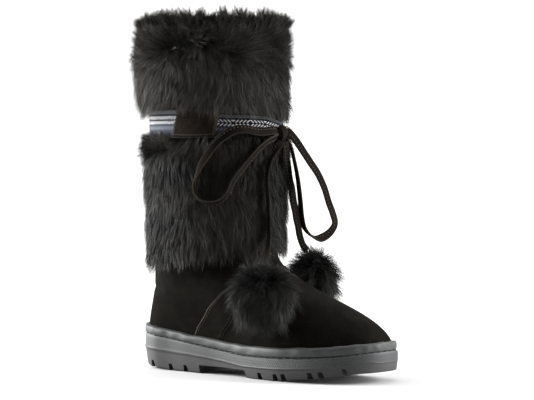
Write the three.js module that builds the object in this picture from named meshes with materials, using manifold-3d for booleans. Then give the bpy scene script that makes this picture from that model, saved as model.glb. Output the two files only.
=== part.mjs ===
// Winter boot for the right foot: a suede foot and shaft on a lugged rubber sole, two bands of deep fur
// with a woven ribbon between them, and a lace tied at the front that ends in two pompoms.
// Millimetres. +X points to the toe, -Y to the outer side of the foot, +Z up. Until the last step,
// X is measured from a little behind the heel.
import * as THREE from 'three';
import { mergeVertices } from 'three/addons/utils/BufferGeometryUtils.js';
import Module from 'manifold-3d';

const wasm = await Module();
wasm.setup();

// Driving sizes
const HEEL_BACK = 3;
const LENGTH = 271;
const HEEL_ROUND = 34;
const TOE_ROUND = 80;
const TOE_POWER = 2.3;
const WALL = 2.5;
const ARCH = { heelBreast: 88, frontTop: 147, frontBottom: 153, heelRise: 7.7, frontRise: 6 };
const NOTCH = { rise: 6.5, bottomFlare: 2, reach: 15 };
const ANKLE = { height: 104, tilt: 10 };
const COLLAR_HEIGHT = 326;
const FUR_SHAFT = { backHem: 95, frontHem: 115, top: 215 };
const FUR_COLLAR = { hem: 245, top: 331 };
const RIBBON = { low: 217, high: 243, thick: 0.9 };
const TAB = { low: 217.5, high: 242.5, from: 90, to: 128, thick: 1.6 };
const LACE = { radius: 2.2, sides: 8, stepDiameters: 2.8 };
const KNOT = { middle: [151.2, 6, 221], half: [5, 6.4, 7] };
const POMPOM = { radius: 28, flat: 18 };

// Gap between pieces that lie on each other, and the wider one that keeps two faceted curves apart
const GAP = 0.3;
const FACET_GAP = 0.5;

// How finely the surfaces are cut into facets
const FOOT_STEPS = 32;
const BAND_STEPS = 24;
const TAB_STEPS = 8;
const FOOT_ROWS = 12;
const SHAFT_ROWS = 6;
const BALL = { around: 16, high: 10 };
const HALVINGS = 30;

// Sole outline seen from above: half width and sideways bow of the middle line, by share of the length
const OUTLINE = [
  { at: 0.00, half: 34.2, bow: 0.0 },
  { at: 0.16, half: 34.5, bow: 0.0 },
  { at: 0.26, half: 35.0, bow: -1.5 },
  { at: 0.36, half: 35.0, bow: -3.0 },
  { at: 0.48, half: 38.7, bow: -3.2 },
  { at: 0.60, half: 45.8, bow: -2.0 },
  { at: 0.70, half: 49.5, bow: -0.8 },
  { at: 0.80, half: 49.5, bow: 0.3 },
  { at: 0.90, half: 49.5, bow: 2.0 },
  { at: 1.00, half: 49.5, bow: 4.0 },
];

// Heights of the sole's layers by share of the length: tread, bead, stitch groove and top of the welt
const LEVELS = [
  { at: 0.00, tread: 3.5, bead: 22.5, groove: 35.0, welt: 43.0 },
  { at: 0.10, tread: 1.6, bead: 21.4, groove: 32.8, welt: 40.0 },
  { at: 0.18, tread: 0.0, bead: 20.0, groove: 30.5, welt: 37.8 },
  { at: 0.31, tread: 0.0, bead: 17.8, groove: 26.7, welt: 34.0 },
  { at: 0.43, tread: 0.0, bead: 14.8, groove: 23.2, welt: 31.2 },
  { at: 0.54, tread: 0.0, bead: 12.0, groove: 20.8, welt: 29.6 },
  { at: 0.66, tread: 0.0, bead: 12.2, groove: 21.2, welt: 29.6 },
  { at: 0.77, tread: 2.6, bead: 13.7, groove: 22.6, welt: 30.8 },
  { at: 0.86, tread: 4.6, bead: 15.2, groove: 24.2, welt: 32.4 },
  { at: 0.93, tread: 6.3, bead: 17.0, groove: 25.8, welt: 34.2 },
  { at: 1.00, tread: 7.6, bead: 19.5, groove: 28.2, welt: 36.4 },
];

// Side profiles of the sole's layers: inset from the outline, by part of the layer's height
const OUTSOLE_PROFILE = [
  { part: 0.00, inset: 5.0 },
  { part: 0.12, inset: 3.2 },
  { part: 0.75, inset: 1.6 },
  { part: 0.92, inset: 0.0 },
  { part: 1.00, inset: 0.7 },
];
const MIDSOLE_PROFILE = [
  { part: 0.0, inset: 1.8 },
  { part: 0.5, inset: 1.1 },
  { part: 1.0, inset: 1.8 },
];
const WELT_PROFILE = [
  { part: 0.00, inset: 1.7 },
  { part: 0.25, inset: 0.3 },
  { part: 0.50, inset: 0.0 },
  { part: 0.80, inset: 1.2 },
  { part: 0.97, inset: 3.2 },
];

// By share of the length: inset of the upper's edge from the sole's outline, how far the welt is drawn in,
// and how strongly the side profiles of the welt and of the outsole are cut
const EDGES = [
  { at: 0.00, feather: 3.5, welt: 0.6, weltCut: 0.5, outsoleCut: 1.0 },
  { at: 0.12, feather: 6.2, welt: 0.0, weltCut: 1.0, outsoleCut: 1.0 },
  { at: 0.80, feather: 6.5, welt: 0.0, weltCut: 1.0, outsoleCut: 1.0 },
  { at: 1.00, feather: 4.2, welt: 1.8, weltCut: 0.5, outsoleCut: 0.4 },
];

// Insole: clearance to the wall of the upper, by height above its underside
const INSOLE_PROFILE = [
  { rise: 0, clear: 0 },
  { rise: 4, clear: 1 },
  { rise: 5, clear: 2 },
];

// Fullness of the foot of the upper: how steeply it leaves the sole and enters the ankle
const FULLNESS = [
  { at: 0.00, sole: 60, ankle: 60 },
  { at: 0.50, sole: 80, ankle: 90 },
  { at: 0.80, sole: 74, ankle: 80 },
  { at: 1.00, sole: 115, ankle: 105 },
];

// Level sections of the shaft by height: middle, half length and half width of each oval
const SHAFT = [
  { at: 80, middle: 79, long: 63.0, wide: 45.5 },
  { at: 105, middle: 80, long: 63.0, wide: 46.5 },
  { at: 150, middle: 80, long: 63.3, wide: 50.0 },
  { at: 215, middle: 80, long: 64.0, wide: 55.0 },
  { at: 245, middle: 80, long: 64.3, wide: 56.5 },
  { at: 331, middle: 77, long: 66.5, wide: 61.0 },
];

// Depth of the fur outside the shaft, by part of the band's height
const FUR_SHAFT_DEPTH = [
  { part: 0.00, depth: 2.0 },
  { part: 0.05, depth: 6.0 },
  { part: 0.25, depth: 8.0 },
  { part: 0.70, depth: 8.3 },
  { part: 0.94, depth: 8.8 },
  { part: 1.00, depth: 5.0 },
];
const FUR_COLLAR_DEPTH = [
  { part: 0.00, depth: 4.5 },
  { part: 0.06, depth: 8.5 },
  { part: 0.40, depth: 9.5 },
  { part: 0.80, depth: 11.5 },
  { part: 0.95, depth: 10.5 },
  { part: 1.00, depth: 6.0 },
];

// Edge lugs: where each notch starts from the heel's back and how wide it is at its top
const NOTCHES = [
  { start: 26, width: 4 },
  { start: 49, width: 4 },
  { start: 68, width: 4 },
  { start: 164, width: 4 },
  { start: 183, width: 4 },
  { start: 192, width: 4 },
  { start: 219, width: 4 },
  { start: 229, width: 4 },
  { start: 249, width: 3 },
];

// Routes of the lace, from the knot outwards
const LOOP_LEFT_ROUTE = [
  [152, -1, 224], [154, -10, 224], [153, -20, 223], [150, -29, 223], [145, -37, 225], [138, -46, 224],
  [130, -52, 218], [123, -56, 211], [113, -60, 196], [108, -62, 185], [104, -62, 175], [105, -61, 166],
  [111, -59, 160], [119, -55, 158], [126, -51, 160], [132, -47, 167], [136, -45, 177], [141, -40, 187],
  [147, -33, 198], [151, -27, 206], [154, -18, 213], [154, -9, 216], [152, -1, 218],
];
const LOOP_RIGHT_ROUTE = [
  [152, 14, 224], [155, 18, 220], [158, 22, 214], [161, 29, 204], [164, 36, 194], [167, 43, 184],
  [170, 49, 171], [172, 53, 158], [174, 57, 147], [175, 59, 138], [173, 56, 131], [170, 50, 126],
  [167, 43, 124], [164, 36, 127], [161, 30, 134], [160, 27, 145], [160, 25, 158], [160, 23, 170],
  [160, 20, 183], [159, 17, 196], [157, 15, 208], [153, 14, 215],
];
const TAIL_LEFT_ROUTE = [
  [155, 1, 214], [155.5, -4, 209], [155, -8, 204], [154, -13, 198], [154, -16, 191], [153, -17, 184],
  [153, -17, 176], [153, -16, 168], [153, -15, 160], [153, -15, 152], [153, -14, 144], [153, -14, 136],
  [154, -15, 129], [156, -19, 121], [160, -26, 114], [165, -35, 108], [170, -43, 104], [173.1, -47.7, 101.7],
];
const TAIL_RIGHT_ROUTE = [
  [155, 7, 214], [156, 8, 207], [155, 10, 199], [154, 13, 192], [153, 16, 185], [152, 19, 178],
  [152, 22, 171], [151, 25, 164], [150, 28, 157], [149, 32, 150], [148, 35, 143], [147, 39, 136],
  [146, 42, 129], [146, 45, 122], [147, 47, 117], [149, 50, 112],
];

// Pompoms: the middle of each ball, and the direction in which it is pressed flat, in degrees from +X
const POMPOM_LEFT = { middle: [178.2, -55.5, 75.4], lean: -65 };
const POMPOM_RIGHT = { middle: [158.3, 54.9, 87.1], lean: 75 };

// Materials
const rubber = new THREE.MeshStandardMaterial({ color: 0x5c5c5c, roughness: 0.7, metalness: 0 });
const midsoleRubber = new THREE.MeshStandardMaterial({ color: 0x505050, roughness: 0.75, metalness: 0 });
const suede = new THREE.MeshStandardMaterial({ color: 0x1b1a18, roughness: 0.95, metalness: 0 });
const fleece = new THREE.MeshStandardMaterial({ color: 0x2c2a28, roughness: 1, metalness: 0 });
const fur = new THREE.MeshStandardMaterial({ color: 0x1e1d1c, roughness: 0.9, metalness: 0 });
const weave = new THREE.MeshStandardMaterial({ color: 0x6c7080, roughness: 0.85, metalness: 0 });

// Weights of a cubic that runs from a start to an end with given slopes
function hermite(t) {
  return {
    start: 2 * t ** 3 - 3 * t ** 2 + 1,
    end: 3 * t ** 2 - 2 * t ** 3,
    leave: t ** 3 - 2 * t ** 2 + t,
    arrive: t ** 3 - t ** 2,
  };
}

// Value of a table's column at a place, on a smooth curve through its rows that stays level
// where two rows are equal and never swings past a highest or lowest row
function along(rows, column, at) {
  const last = rows.length - 1;
  let k = 0;
  while (k < last - 1 && at > rows[k + 1].at) {
    k += 1;
  }
  const slope = (j) => {
    const here = rows[j];
    const before = rows[Math.max(j - 1, 0)];
    const after = rows[Math.min(j + 1, last)];
    const turns = (after[column] - here[column]) * (here[column] - before[column]) <= 0;
    const inner = j > 0 && j < last;
    return inner && turns ? 0 : (after[column] - before[column]) / (after.at - before.at);
  };
  const span = rows[k + 1].at - rows[k].at;
  const w = hermite(THREE.MathUtils.clamp((at - rows[k].at) / span, 0, 1));
  return w.start * rows[k][column] + w.end * rows[k + 1][column]
    + span * (w.leave * slope(k) + w.arrive * slope(k + 1));
}

// Closed ring of points from a function of the angle: 0 at the heel, a quarter turn at the outer side,
// half a turn at the toe
function ringOf(point, halfSteps) {
  const ring = [];
  for (let step = 0; step < 2 * halfSteps; step += 1) {
    ring.push(point((Math.PI * step) / halfSteps));
  }
  return ring;
}

// Share of the sole's length at an X
function shareAt(x) {
  return (x - HEEL_BACK) / LENGTH;
}

// Point of the sole's outline at an angle
function outlineAt(angle) {
  const share = (1 - Math.cos(angle)) / 2;
  const run = LENGTH * share;
  const heel = Math.max(1 - run / HEEL_ROUND, 0);
  const toe = THREE.MathUtils.clamp(1 - (LENGTH - run) / TOE_ROUND, 0, 1);
  const round = Math.sqrt(1 - heel ** 2) * (1 - toe ** TOE_POWER) ** (1 / TOE_POWER);
  const side = Math.sign(Math.sin(angle)) * along(OUTLINE, 'half', share) * round;
  return new THREE.Vector2(HEEL_BACK + run, along(OUTLINE, 'bow', share) - side);
}

// Outward direction of the outline at an angle
function outwardAt(angle) {
  const reach = Math.PI / (2 * FOOT_STEPS);
  const ahead = outlineAt(angle + reach).sub(outlineAt(angle - reach));
  return new THREE.Vector2(ahead.y, -ahead.x).normalize();
}

// Height part of the way through a layer of the sole, which ends a gap below the next layer
function layerHeight(low, high, part) {
  return (share) => {
    const bottom = along(LEVELS, low, share);
    const top = along(LEVELS, high, share) - GAP;
    return THREE.MathUtils.lerp(bottom, top, part);
  };
}

// Ring of points inside the sole's outline, with its inset and its height from functions of the share
function soleRing(inset, height) {
  return ringOf((angle) => {
    const edge = outlineAt(angle);
    const share = shareAt(edge.x);
    edge.addScaledVector(outwardAt(angle), -inset(share));
    return new THREE.Vector3(edge.x, edge.y, height(share));
  }, FOOT_STEPS);
}

// Rings of one layer of the sole, from its side profile and from a function that fits an inset to the share
function layerRings(profile, low, high, fit) {
  return profile.map((row) => {
    const inset = (share) => fit(row.inset, share);
    return soleRing(inset, layerHeight(low, high, row.part));
  });
}

// Point on an oval of the shaft at an angle, moved outwards by a depth
function shaftPoint(angle, height, depth) {
  const long = along(SHAFT, 'long', height) + depth;
  const wide = along(SHAFT, 'wide', height) + depth;
  const x = along(SHAFT, 'middle', height) - long * Math.cos(angle);
  return new THREE.Vector3(x, -wide * Math.sin(angle), height);
}

// Height of the ankle's ring, higher at the instep than at the back
function ankleHeight(angle) {
  return ANKLE.height - ANKLE.tilt * Math.cos(angle);
}

// Outside of the foot of the upper: a curve from the edge of the sole up and over to the ankle
function footPoint(angle, t) {
  const edge = outlineAt(angle);
  const share = shareAt(edge.x);
  edge.addScaledVector(outwardAt(angle), -along(EDGES, 'feather', share));
  const ankle = shaftPoint(angle, ankleHeight(angle), 0);
  const w = hermite(t);
  const z = w.start * along(LEVELS, 'groove', share) + w.end * ankle.z
    + w.leave * along(FULLNESS, 'sole', share) + w.arrive * along(FULLNESS, 'ankle', share);
  return new THREE.Vector3(w.start * edge.x + w.end * ankle.x, w.start * edge.y + w.end * ankle.y, z);
}

// Point where the foot of the upper reaches a height, found by halving
function footAtHeight(angle, height) {
  let low = 0;
  let high = 1;
  for (let pass = 0; pass < HALVINGS; pass += 1) {
    const middle = (low + high) / 2;
    if (footPoint(angle, middle).z < height) {
      low = middle;
    } else {
      high = middle;
    }
  }
  return footPoint(angle, low);
}

// Ring of points on the outside of the foot of the upper at a height, moved inwards by a depth
function footRing(height, depth) {
  return ringOf((angle) => {
    const z = height(shareAt(outlineAt(angle).x));
    const point = footAtHeight(angle, z);
    const out = outwardAt(angle);
    return new THREE.Vector3(point.x - depth * out.x, point.y - depth * out.y, z);
  }, FOOT_STEPS);
}

// Triangles that close a ring, in strips from its one side to its other
function cap(ring) {
  const count = ring.length;
  const half = count / 2;
  const corners = [];
  for (let step = 0; step < half; step += 1) {
    const back = [ring[step], ring[(count - step) % count]];
    const front = [ring[step + 1], ring[count - step - 1]];
    if (step < half - 1) {
      corners.push(back[0], front[0], front[1]);
    }
    if (step > 0) {
      corners.push(back[0], front[1], back[1]);
    }
  }
  return corners;
}

// Closed mesh through rings with the same number of points: a hoop's last ring joins its first,
// and any other mesh has its first and last ring closed
function loft(rings, isHoop) {
  const count = rings[0].length;
  const corners = [];
  const bands = isHoop ? rings.length : rings.length - 1;
  for (let row = 0; row < bands; row += 1) {
    const low = rings[row];
    const high = rings[(row + 1) % rings.length];
    for (let step = 0; step < count; step += 1) {
      const next = (step + 1) % count;
      corners.push(low[step], low[next], high[next]);
      corners.push(low[step], high[next], high[step]);
    }
  }
  if (!isHoop) {
    corners.push(...cap(rings[0]).reverse(), ...cap(rings[rings.length - 1]));
  }
  return new THREE.BufferGeometry().setFromPoints(corners);
}

// Solid for cutting, from a closed mesh
function solidOf(geometry) {
  const bare = new THREE.BufferGeometry();
  bare.setAttribute('position', geometry.getAttribute('position'));
  bare.setIndex(geometry.index);
  const merged = mergeVertices(bare);
  const vertProperties = new Float32Array(merged.getAttribute('position').array);
  const triVerts = new Uint32Array(merged.index.array);
  return new wasm.Manifold(new wasm.Mesh({ numProp: 3, vertProperties, triVerts }));
}

// Mesh of a solid after cutting
function geometryOf(solid) {
  const mesh = solid.getMesh();
  const geometry = new THREE.BufferGeometry();
  geometry.setAttribute('position', new THREE.BufferAttribute(mesh.vertProperties, mesh.numProp));
  geometry.setIndex(new THREE.BufferAttribute(mesh.triVerts, 1));
  return geometry;
}

// Prism across the sole: a side outline in X and Z, from one sideways place to another
function crossPrism(corners, from, to) {
  const shape = new THREE.Shape(corners.map(([x, z]) => new THREE.Vector2(x, z)));
  const prism = new THREE.ExtrudeGeometry(shape, { depth: to - from, bevelEnabled: false });
  prism.rotateX(Math.PI / 2);
  prism.translate(0, to, 0);
  return solidOf(prism);
}

// Outsole: tapered sides under a bead, with the arch and the notches between the lugs cut out
function outsole() {
  const below = -NOTCH.rise;
  const aside = LENGTH / 4;
  const arch = [
    [ARCH.heelBreast, below],
    [ARCH.frontBottom, below],
    [ARCH.frontTop, ARCH.frontRise],
    [ARCH.heelBreast, ARCH.heelRise],
  ];
  const fit = (inset, share) => inset * along(EDGES, 'outsoleCut', share);
  let solid = solidOf(loft(layerRings(OUTSOLE_PROFILE, 'tread', 'bead', fit), false));
  solid = solid.subtract(crossPrism(arch, -aside, aside));
  for (const { start, width } of NOTCHES) {
    const share = shareAt(start);
    const angle = Math.acos(1 - 2 * share);
    const top = along(LEVELS, 'tread', share) + NOTCH.rise;
    const end = start + width;
    const corners = [[start, below], [end + NOTCH.bottomFlare, below], [end, top], [start, top]];
    const outer = outlineAt(angle).y + NOTCH.reach;
    const inner = outlineAt(-angle).y - NOTCH.reach;
    solid = solid.subtract(crossPrism(corners, -aside, outer));
    solid = solid.subtract(crossPrism(corners, inner, aside));
  }
  return geometryOf(solid);
}

// Midsole: a slab between the bead and the stitch groove
function midsole() {
  return loft(layerRings(MIDSOLE_PROFILE, 'bead', 'groove', (inset) => inset), false);
}

// Welt: a puffy strip that stands on the midsole and leans on the upper
function welt() {
  const lean = [1, 0.5, 0].map((part) => footRing(layerHeight('groove', 'welt', part), -FACET_GAP));
  const fit = (inset, share) => along(EDGES, 'welt', share) + inset * along(EDGES, 'weltCut', share);
  return loft([...layerRings(WELT_PROFILE, 'groove', 'welt', fit), ...lean], true);
}

// Insole: a pad that lies on the midsole inside the wall of the upper
function insole() {
  const rings = INSOLE_PROFILE.map(({ rise, clear }) => {
    const height = (share) => along(LEVELS, 'groove', share) + rise;
    return footRing(height, WALL + GAP + clear);
  });
  return loft(rings, false);
}

// Upper: one wall from the sole to the collar, thickened inwards along its own normals
function upper() {
  const outside = [];
  for (let row = 0; row <= FOOT_ROWS; row += 1) {
    outside.push(ringOf((angle) => footPoint(angle, row / FOOT_ROWS), FOOT_STEPS));
  }
  for (let row = 1; row <= SHAFT_ROWS; row += 1) {
    outside.push(ringOf((angle) => {
      const height = THREE.MathUtils.lerp(ankleHeight(angle), COLLAR_HEIGHT, row / SHAFT_ROWS);
      return shaftPoint(angle, height, 0);
    }, FOOT_STEPS));
  }
  const last = outside.length - 1;
  const inside = outside.map((ring, row) => ring.map((point, step) => {
    const before = ring.at(step - 1);
    const after = ring[(step + 1) % ring.length];
    const below = outside[Math.max(row - 1, 0)][step];
    const above = outside[Math.min(row + 1, last)][step];
    const normal = after.clone().sub(before).cross(above.clone().sub(below)).normalize();
    if (row === 0 || row === last) {
      normal.setZ(0).normalize();
    }
    return point.clone().addScaledVector(normal, -WALL);
  }));
  return loft([...outside, ...inside.reverse()], true);
}

// Ring round the shaft at a height and a depth outside it
function bandRing(height, depth) {
  return ringOf((angle) => shaftPoint(angle, height(angle), depth), BAND_STEPS);
}

// Band of fur round the shaft, from a hem to a top, with its depth from a table
function furBand(hem, top, depths) {
  const heightAt = (part) => (angle) => THREE.MathUtils.lerp(hem(angle), top, part);
  const outside = depths.map((row) => bandRing(heightAt(row.part), row.depth));
  const inside = [1, 0.5, 0].map((part) => bandRing(heightAt(part), FACET_GAP));
  return loft([...outside, ...inside], true);
}

// Hem of the lower band of fur, higher at the instep than at the back
function shaftHem(angle) {
  const middle = (FUR_SHAFT.backHem + FUR_SHAFT.frontHem) / 2;
  const tilt = (FUR_SHAFT.frontHem - FUR_SHAFT.backHem) / 2;
  return middle - tilt * Math.cos(angle);
}

// Ribbon: a thin woven band round the shaft
function ribbon() {
  const outer = FACET_GAP + RIBBON.thick;
  return loft([
    bandRing(() => RIBBON.low, outer),
    bandRing(() => RIBBON.high, outer),
    bandRing(() => RIBBON.high, FACET_GAP),
    bandRing(() => RIBBON.low, FACET_GAP),
  ], true);
}

// Tab: a strip of suede over the ribbon, thinner at its two edges
function tab() {
  const inner = FACET_GAP + RIBBON.thick + GAP;
  const rowAt = (height) => {
    const ring = [];
    for (let step = 0; step < 2 * TAB_STEPS; step += 1) {
      const across = step <= TAB_STEPS ? step : 2 * TAB_STEPS - step;
      const degrees = THREE.MathUtils.lerp(TAB.from, TAB.to, across / TAB_STEPS);
      const isOuter = step < TAB_STEPS ? 1 : 0;
      const isEdge = step % TAB_STEPS === 0;
      const depth = TAB.thick * (isEdge ? 0.5 : isOuter);
      ring.push(shaftPoint(THREE.MathUtils.degToRad(degrees), height, inner + depth));
    }
    return ring;
  };
  return loft([TAB.low, (TAB.low + TAB.high) / 2, TAB.high].map(rowAt), false);
}

// Lace along a route of points
function lace(route) {
  const path = new THREE.CatmullRomCurve3(route.map((point) => new THREE.Vector3(...point)));
  const corners = [];
  for (let side = 0; side < LACE.sides; side += 1) {
    const turn = (2 * Math.PI * side) / LACE.sides;
    corners.push(new THREE.Vector2(LACE.radius * Math.cos(turn), LACE.radius * Math.sin(turn)));
  }
  const steps = Math.round(path.getLength() / (2 * LACE.radius * LACE.stepDiameters));
  return new THREE.ExtrudeGeometry(new THREE.Shape(corners), { steps, extrudePath: path });
}

// Rounded lump with three half sizes, turned about the upright by a lean
function ball(half, middle, lean = 0) {
  const lump = new THREE.SphereGeometry(1, BALL.around, BALL.high);
  lump.scale(...half);
  lump.rotateZ(THREE.MathUtils.degToRad(lean));
  lump.translate(...middle);
  return lump;
}

// Pompom: a ball of fur, flatter where it lies against the boot
function pompom({ middle, lean }) {
  return ball([POMPOM.flat, POMPOM.radius, POMPOM.radius], middle, lean);
}

const boot = new THREE.Group();

function addPiece(name, geometry, material) {
  const mesh = new THREE.Mesh(geometry, material);
  mesh.name = name;
  boot.add(mesh);
}

addPiece('outsole', outsole(), rubber);
addPiece('midsole', midsole(), midsoleRubber);
addPiece('welt', welt(), rubber);
addPiece('insole', insole(), fleece);
addPiece('upper', upper(), suede);
addPiece('fur_shaft', furBand(shaftHem, FUR_SHAFT.top, FUR_SHAFT_DEPTH), fur);
addPiece('ribbon', ribbon(), weave);
addPiece('fur_collar', furBand(() => FUR_COLLAR.hem, FUR_COLLAR.top, FUR_COLLAR_DEPTH), fur);
addPiece('tab', tab(), suede);

// The middle of the boot's own box, without the lace, goes over the origin, with the tread at height 0
const box = new THREE.Box3().setFromObject(boot);
const middle = box.getCenter(new THREE.Vector3());
boot.position.set(-middle.x, -middle.y, -box.min.z);

addPiece('lace_knot', ball(KNOT.half, KNOT.middle), suede);
addPiece('lace_loop_left', lace(LOOP_LEFT_ROUTE), suede);
addPiece('lace_loop_right', lace(LOOP_RIGHT_ROUTE), suede);
addPiece('lace_tail_left', lace(TAIL_LEFT_ROUTE), suede);
addPiece('lace_tail_right', lace(TAIL_RIGHT_ROUTE), suede);
addPiece('pompom_left', pompom(POMPOM_LEFT), fur);
addPiece('pompom_right', pompom(POMPOM_RIGHT), fur);

export default boot;
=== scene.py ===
"""Winter boot for the right foot: suede on a lugged rubber sole, two bands of deep fur with a woven ribbon
between them, and a suede lace tied at the front that ends in two pompoms.

Shapes are worked out in millimetres with X from a little behind the heel to the toe, -Y to the outer side
and Z up. place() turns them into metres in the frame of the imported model.
"""
import math

import bpy
import numpy as np
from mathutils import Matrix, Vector


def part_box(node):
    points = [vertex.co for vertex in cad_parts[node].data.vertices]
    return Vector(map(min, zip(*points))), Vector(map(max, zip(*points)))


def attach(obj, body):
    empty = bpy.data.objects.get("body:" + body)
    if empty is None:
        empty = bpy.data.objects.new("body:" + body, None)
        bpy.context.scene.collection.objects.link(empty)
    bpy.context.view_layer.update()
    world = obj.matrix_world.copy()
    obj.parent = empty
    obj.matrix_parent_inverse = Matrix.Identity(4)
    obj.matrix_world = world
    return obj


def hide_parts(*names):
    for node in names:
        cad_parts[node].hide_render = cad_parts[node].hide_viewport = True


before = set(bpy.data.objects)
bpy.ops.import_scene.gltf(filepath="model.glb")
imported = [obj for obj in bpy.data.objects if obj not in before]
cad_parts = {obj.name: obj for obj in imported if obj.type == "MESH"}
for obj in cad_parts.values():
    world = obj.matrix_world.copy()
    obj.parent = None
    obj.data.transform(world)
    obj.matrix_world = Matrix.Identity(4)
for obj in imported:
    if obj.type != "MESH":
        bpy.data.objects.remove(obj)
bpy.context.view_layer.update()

MM = 0.001

# Driving sizes of the sole and the upper
HEEL_BACK = 3.0
LENGTH = 271.0
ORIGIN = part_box("outsole")[0].x - HEEL_BACK * MM
HEEL_ROUND = 34.0
TOE_ROUND = 80.0
TOE_POWER = 2.3
WALL = 2.5
GAP = 0.3
LAYER_GAP = 0.04
ANKLE_HEIGHT = 104.0
ANKLE_TILT = 10.0
COLLAR_HEIGHT = 326.0
ARCH = {"heel": 88.0, "front_top": 147.0, "front_bottom": 153.0, "heel_rise": 7.7, "front_rise": 6.0}
NOTCH = {"rise": 6.5, "flare": 2.0, "reach": 15.0, "groove": 3.0}
NOTCHES = {"start": (26, 49, 68, 164, 183, 192, 219, 229, 249), "width": (4, 4, 4, 4, 4, 4, 4, 4, 3)}
BUMPER = {"from": 258.0, "to": 267.0, "rise": 2.2}

# Sole outline seen from above, by share of the length: half width and sideways bow of the middle line
OUTLINE = {
    "at": (0.00, 0.16, 0.26, 0.36, 0.48, 0.60, 0.70, 0.80, 0.90, 1.00),
    "half": (34.2, 34.5, 35.0, 35.0, 38.7, 45.8, 49.5, 49.5, 49.5, 49.5),
    "bow": (0.0, 0.0, -1.5, -3.0, -3.2, -2.0, -0.8, 0.3, 2.0, 4.0),
}
# Heights of the sole's layers by share of the length
LEVELS = {
    "at": (0.00, 0.10, 0.18, 0.31, 0.43, 0.54, 0.66, 0.77, 0.86, 0.93, 1.00),
    "tread": (3.5, 1.6, 0.0, 0.0, 0.0, 0.0, 0.0, 2.6, 4.8, 8.6, 10.4),
    "bead": (22.5, 21.4, 20.0, 17.8, 14.8, 12.0, 12.2, 13.7, 15.2, 17.0, 19.5),
    "groove": (35.0, 32.8, 30.5, 26.7, 23.2, 20.8, 21.2, 22.6, 24.2, 25.8, 28.2),
    "welt": (43.0, 40.0, 37.8, 34.0, 31.2, 29.6, 29.6, 30.8, 32.4, 34.2, 36.4),
}
# Side profiles of the layers, by part of the height: inset from the outline
OUTSOLE_PROFILE = {
    "at": (0.00, 0.03, 0.10, 0.50, 0.78, 0.83, 0.87, 0.92, 0.97, 1.00),
    "inset": (5.0, 3.9, 3.2, 1.9, 1.2, 1.05, 0.55, 0.3, 0.35, 0.6),
}
MIDSOLE_PROFILE = {"at": (0.00, 0.06, 0.50, 0.94, 1.00), "inset": (0.8, 0.85, 0.9, 1.3, 2.4)}
WELT_PROFILE = {
    "at": (0.00, 0.06, 0.25, 0.50, 0.80, 0.94, 1.00),
    "inset": (2.2, 0.8, 0.2, 0.0, 0.3, 1.0, 2.8),
}
# By share of the length: inset of the upper's edge from the sole's outline, how far the welt is drawn in, and
# how strongly the side profiles of the welt and of the layers below it are cut
EDGES = {
    "at": (0.00, 0.12, 0.80, 1.00),
    "feather": (3.5, 6.2, 6.5, 4.2),
    "welt": (0.6, 0.0, 0.0, 1.8),
    "welt_cut": (0.5, 1.0, 1.0, 0.5),
    "outsole_cut": (1.0, 1.0, 1.0, 0.4),
}
# Fullness of the foot of the upper: how steeply it leaves the sole and enters the ankle
FULLNESS = {"at": (0.0, 0.5, 0.8, 1.0), "sole": (60, 80, 74, 115), "ankle": (60, 90, 80, 105)}
# Level sections of the shaft by height: middle, half length and half width of each oval
SHAFT = {
    "at": (80, 105, 150, 215, 245, 331),
    "middle": (79, 80, 80, 80, 80, 77),
    "long": (63.0, 63.0, 63.3, 64.0, 64.3, 66.5),
    "wide": (45.5, 46.5, 50.0, 55.0, 56.5, 61.0),
}
# Side strip over the suede, by part of the way from the sole to the ankle: back and front edge in degrees
STRIP = {
    "at": (0.00, 0.12, 0.24, 0.40, 0.52, 0.63, 0.70, 0.76, 0.84),
    "back": (61.0, 64.8, 69.0, 78.5, 88.5, 104.5, 118.5, 131.0, 145.0),
    "front": (75.0, 79.8, 85.2, 97.8, 110.0, 127.0, 143.0, 158.0, 174.0),
}
STRIP_THICK = 0.7
STRIP_ENDS = (0.015, 0.84)
STRIP_ROWS = 90
STRIP_SEAMS = {"parts": (0.10, 0.88), "step": 2.8}
# Soft creases of the suede: place as degrees and part, reach as degrees and part, and height of the swell
CREASES = (
    (150, 0.80, 30, 0.035, -0.9),
    (205, 0.78, 34, 0.035, -0.9),
    (175, 0.70, 40, 0.045, 0.6),
    (30, 0.72, 34, 0.050, -0.8),
    (330, 0.72, 34, 0.050, -0.8),
    (128, 0.28, 16, 0.070, 0.5),
    (160, 0.36, 14, 0.060, -0.5),
    (222, 0.30, 18, 0.080, 0.5),
)
FUR_SHAFT = {
    "back_hem": 95.0, "front_hem": 115.0, "top": 215.0, "root": 2.2, "length": 18.5, "lean": 53, "curl": 92,
}
# Folds of the lower band: place as degrees and height, reach as degrees and height, how many degrees flatter
# the fur lies, and how much paler it is painted: the dark ones are painted shade in the troughs and beside
# the knot, the large pale one is painted light on a tuft
FOLDS = (
    (84, 195, 42, 10, 14, -0.85),
    (70, 175, 35, 9, -12, 0.04),
    (68, 212, 36, 9, 0, 0.55),
    (165, 165, 40, 9, 12, 0.02),
    (72, 147, 28, 6, 18, -0.85),
    (198, 178, 28, 36, 0, -0.30),
    (120, 140, 40, 12, -8, 0.05),
)
# Collar, with the length, lean and curl of its fur where it hangs and where it stands up
FUR_COLLAR = {
    "hem": 245.0, "top": 331.0, "drop": 8.0, "drop_at": 205.0, "drop_reach": 50.0,
    "length": (20.0, 15.0), "lean": (56, 62), "curl": (93, 82),
}
# Directions that the fur goes by, in degrees round the boot from the heel over the outer side
OUTER_BACK = 38
TAB_SIDE = 128
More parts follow.
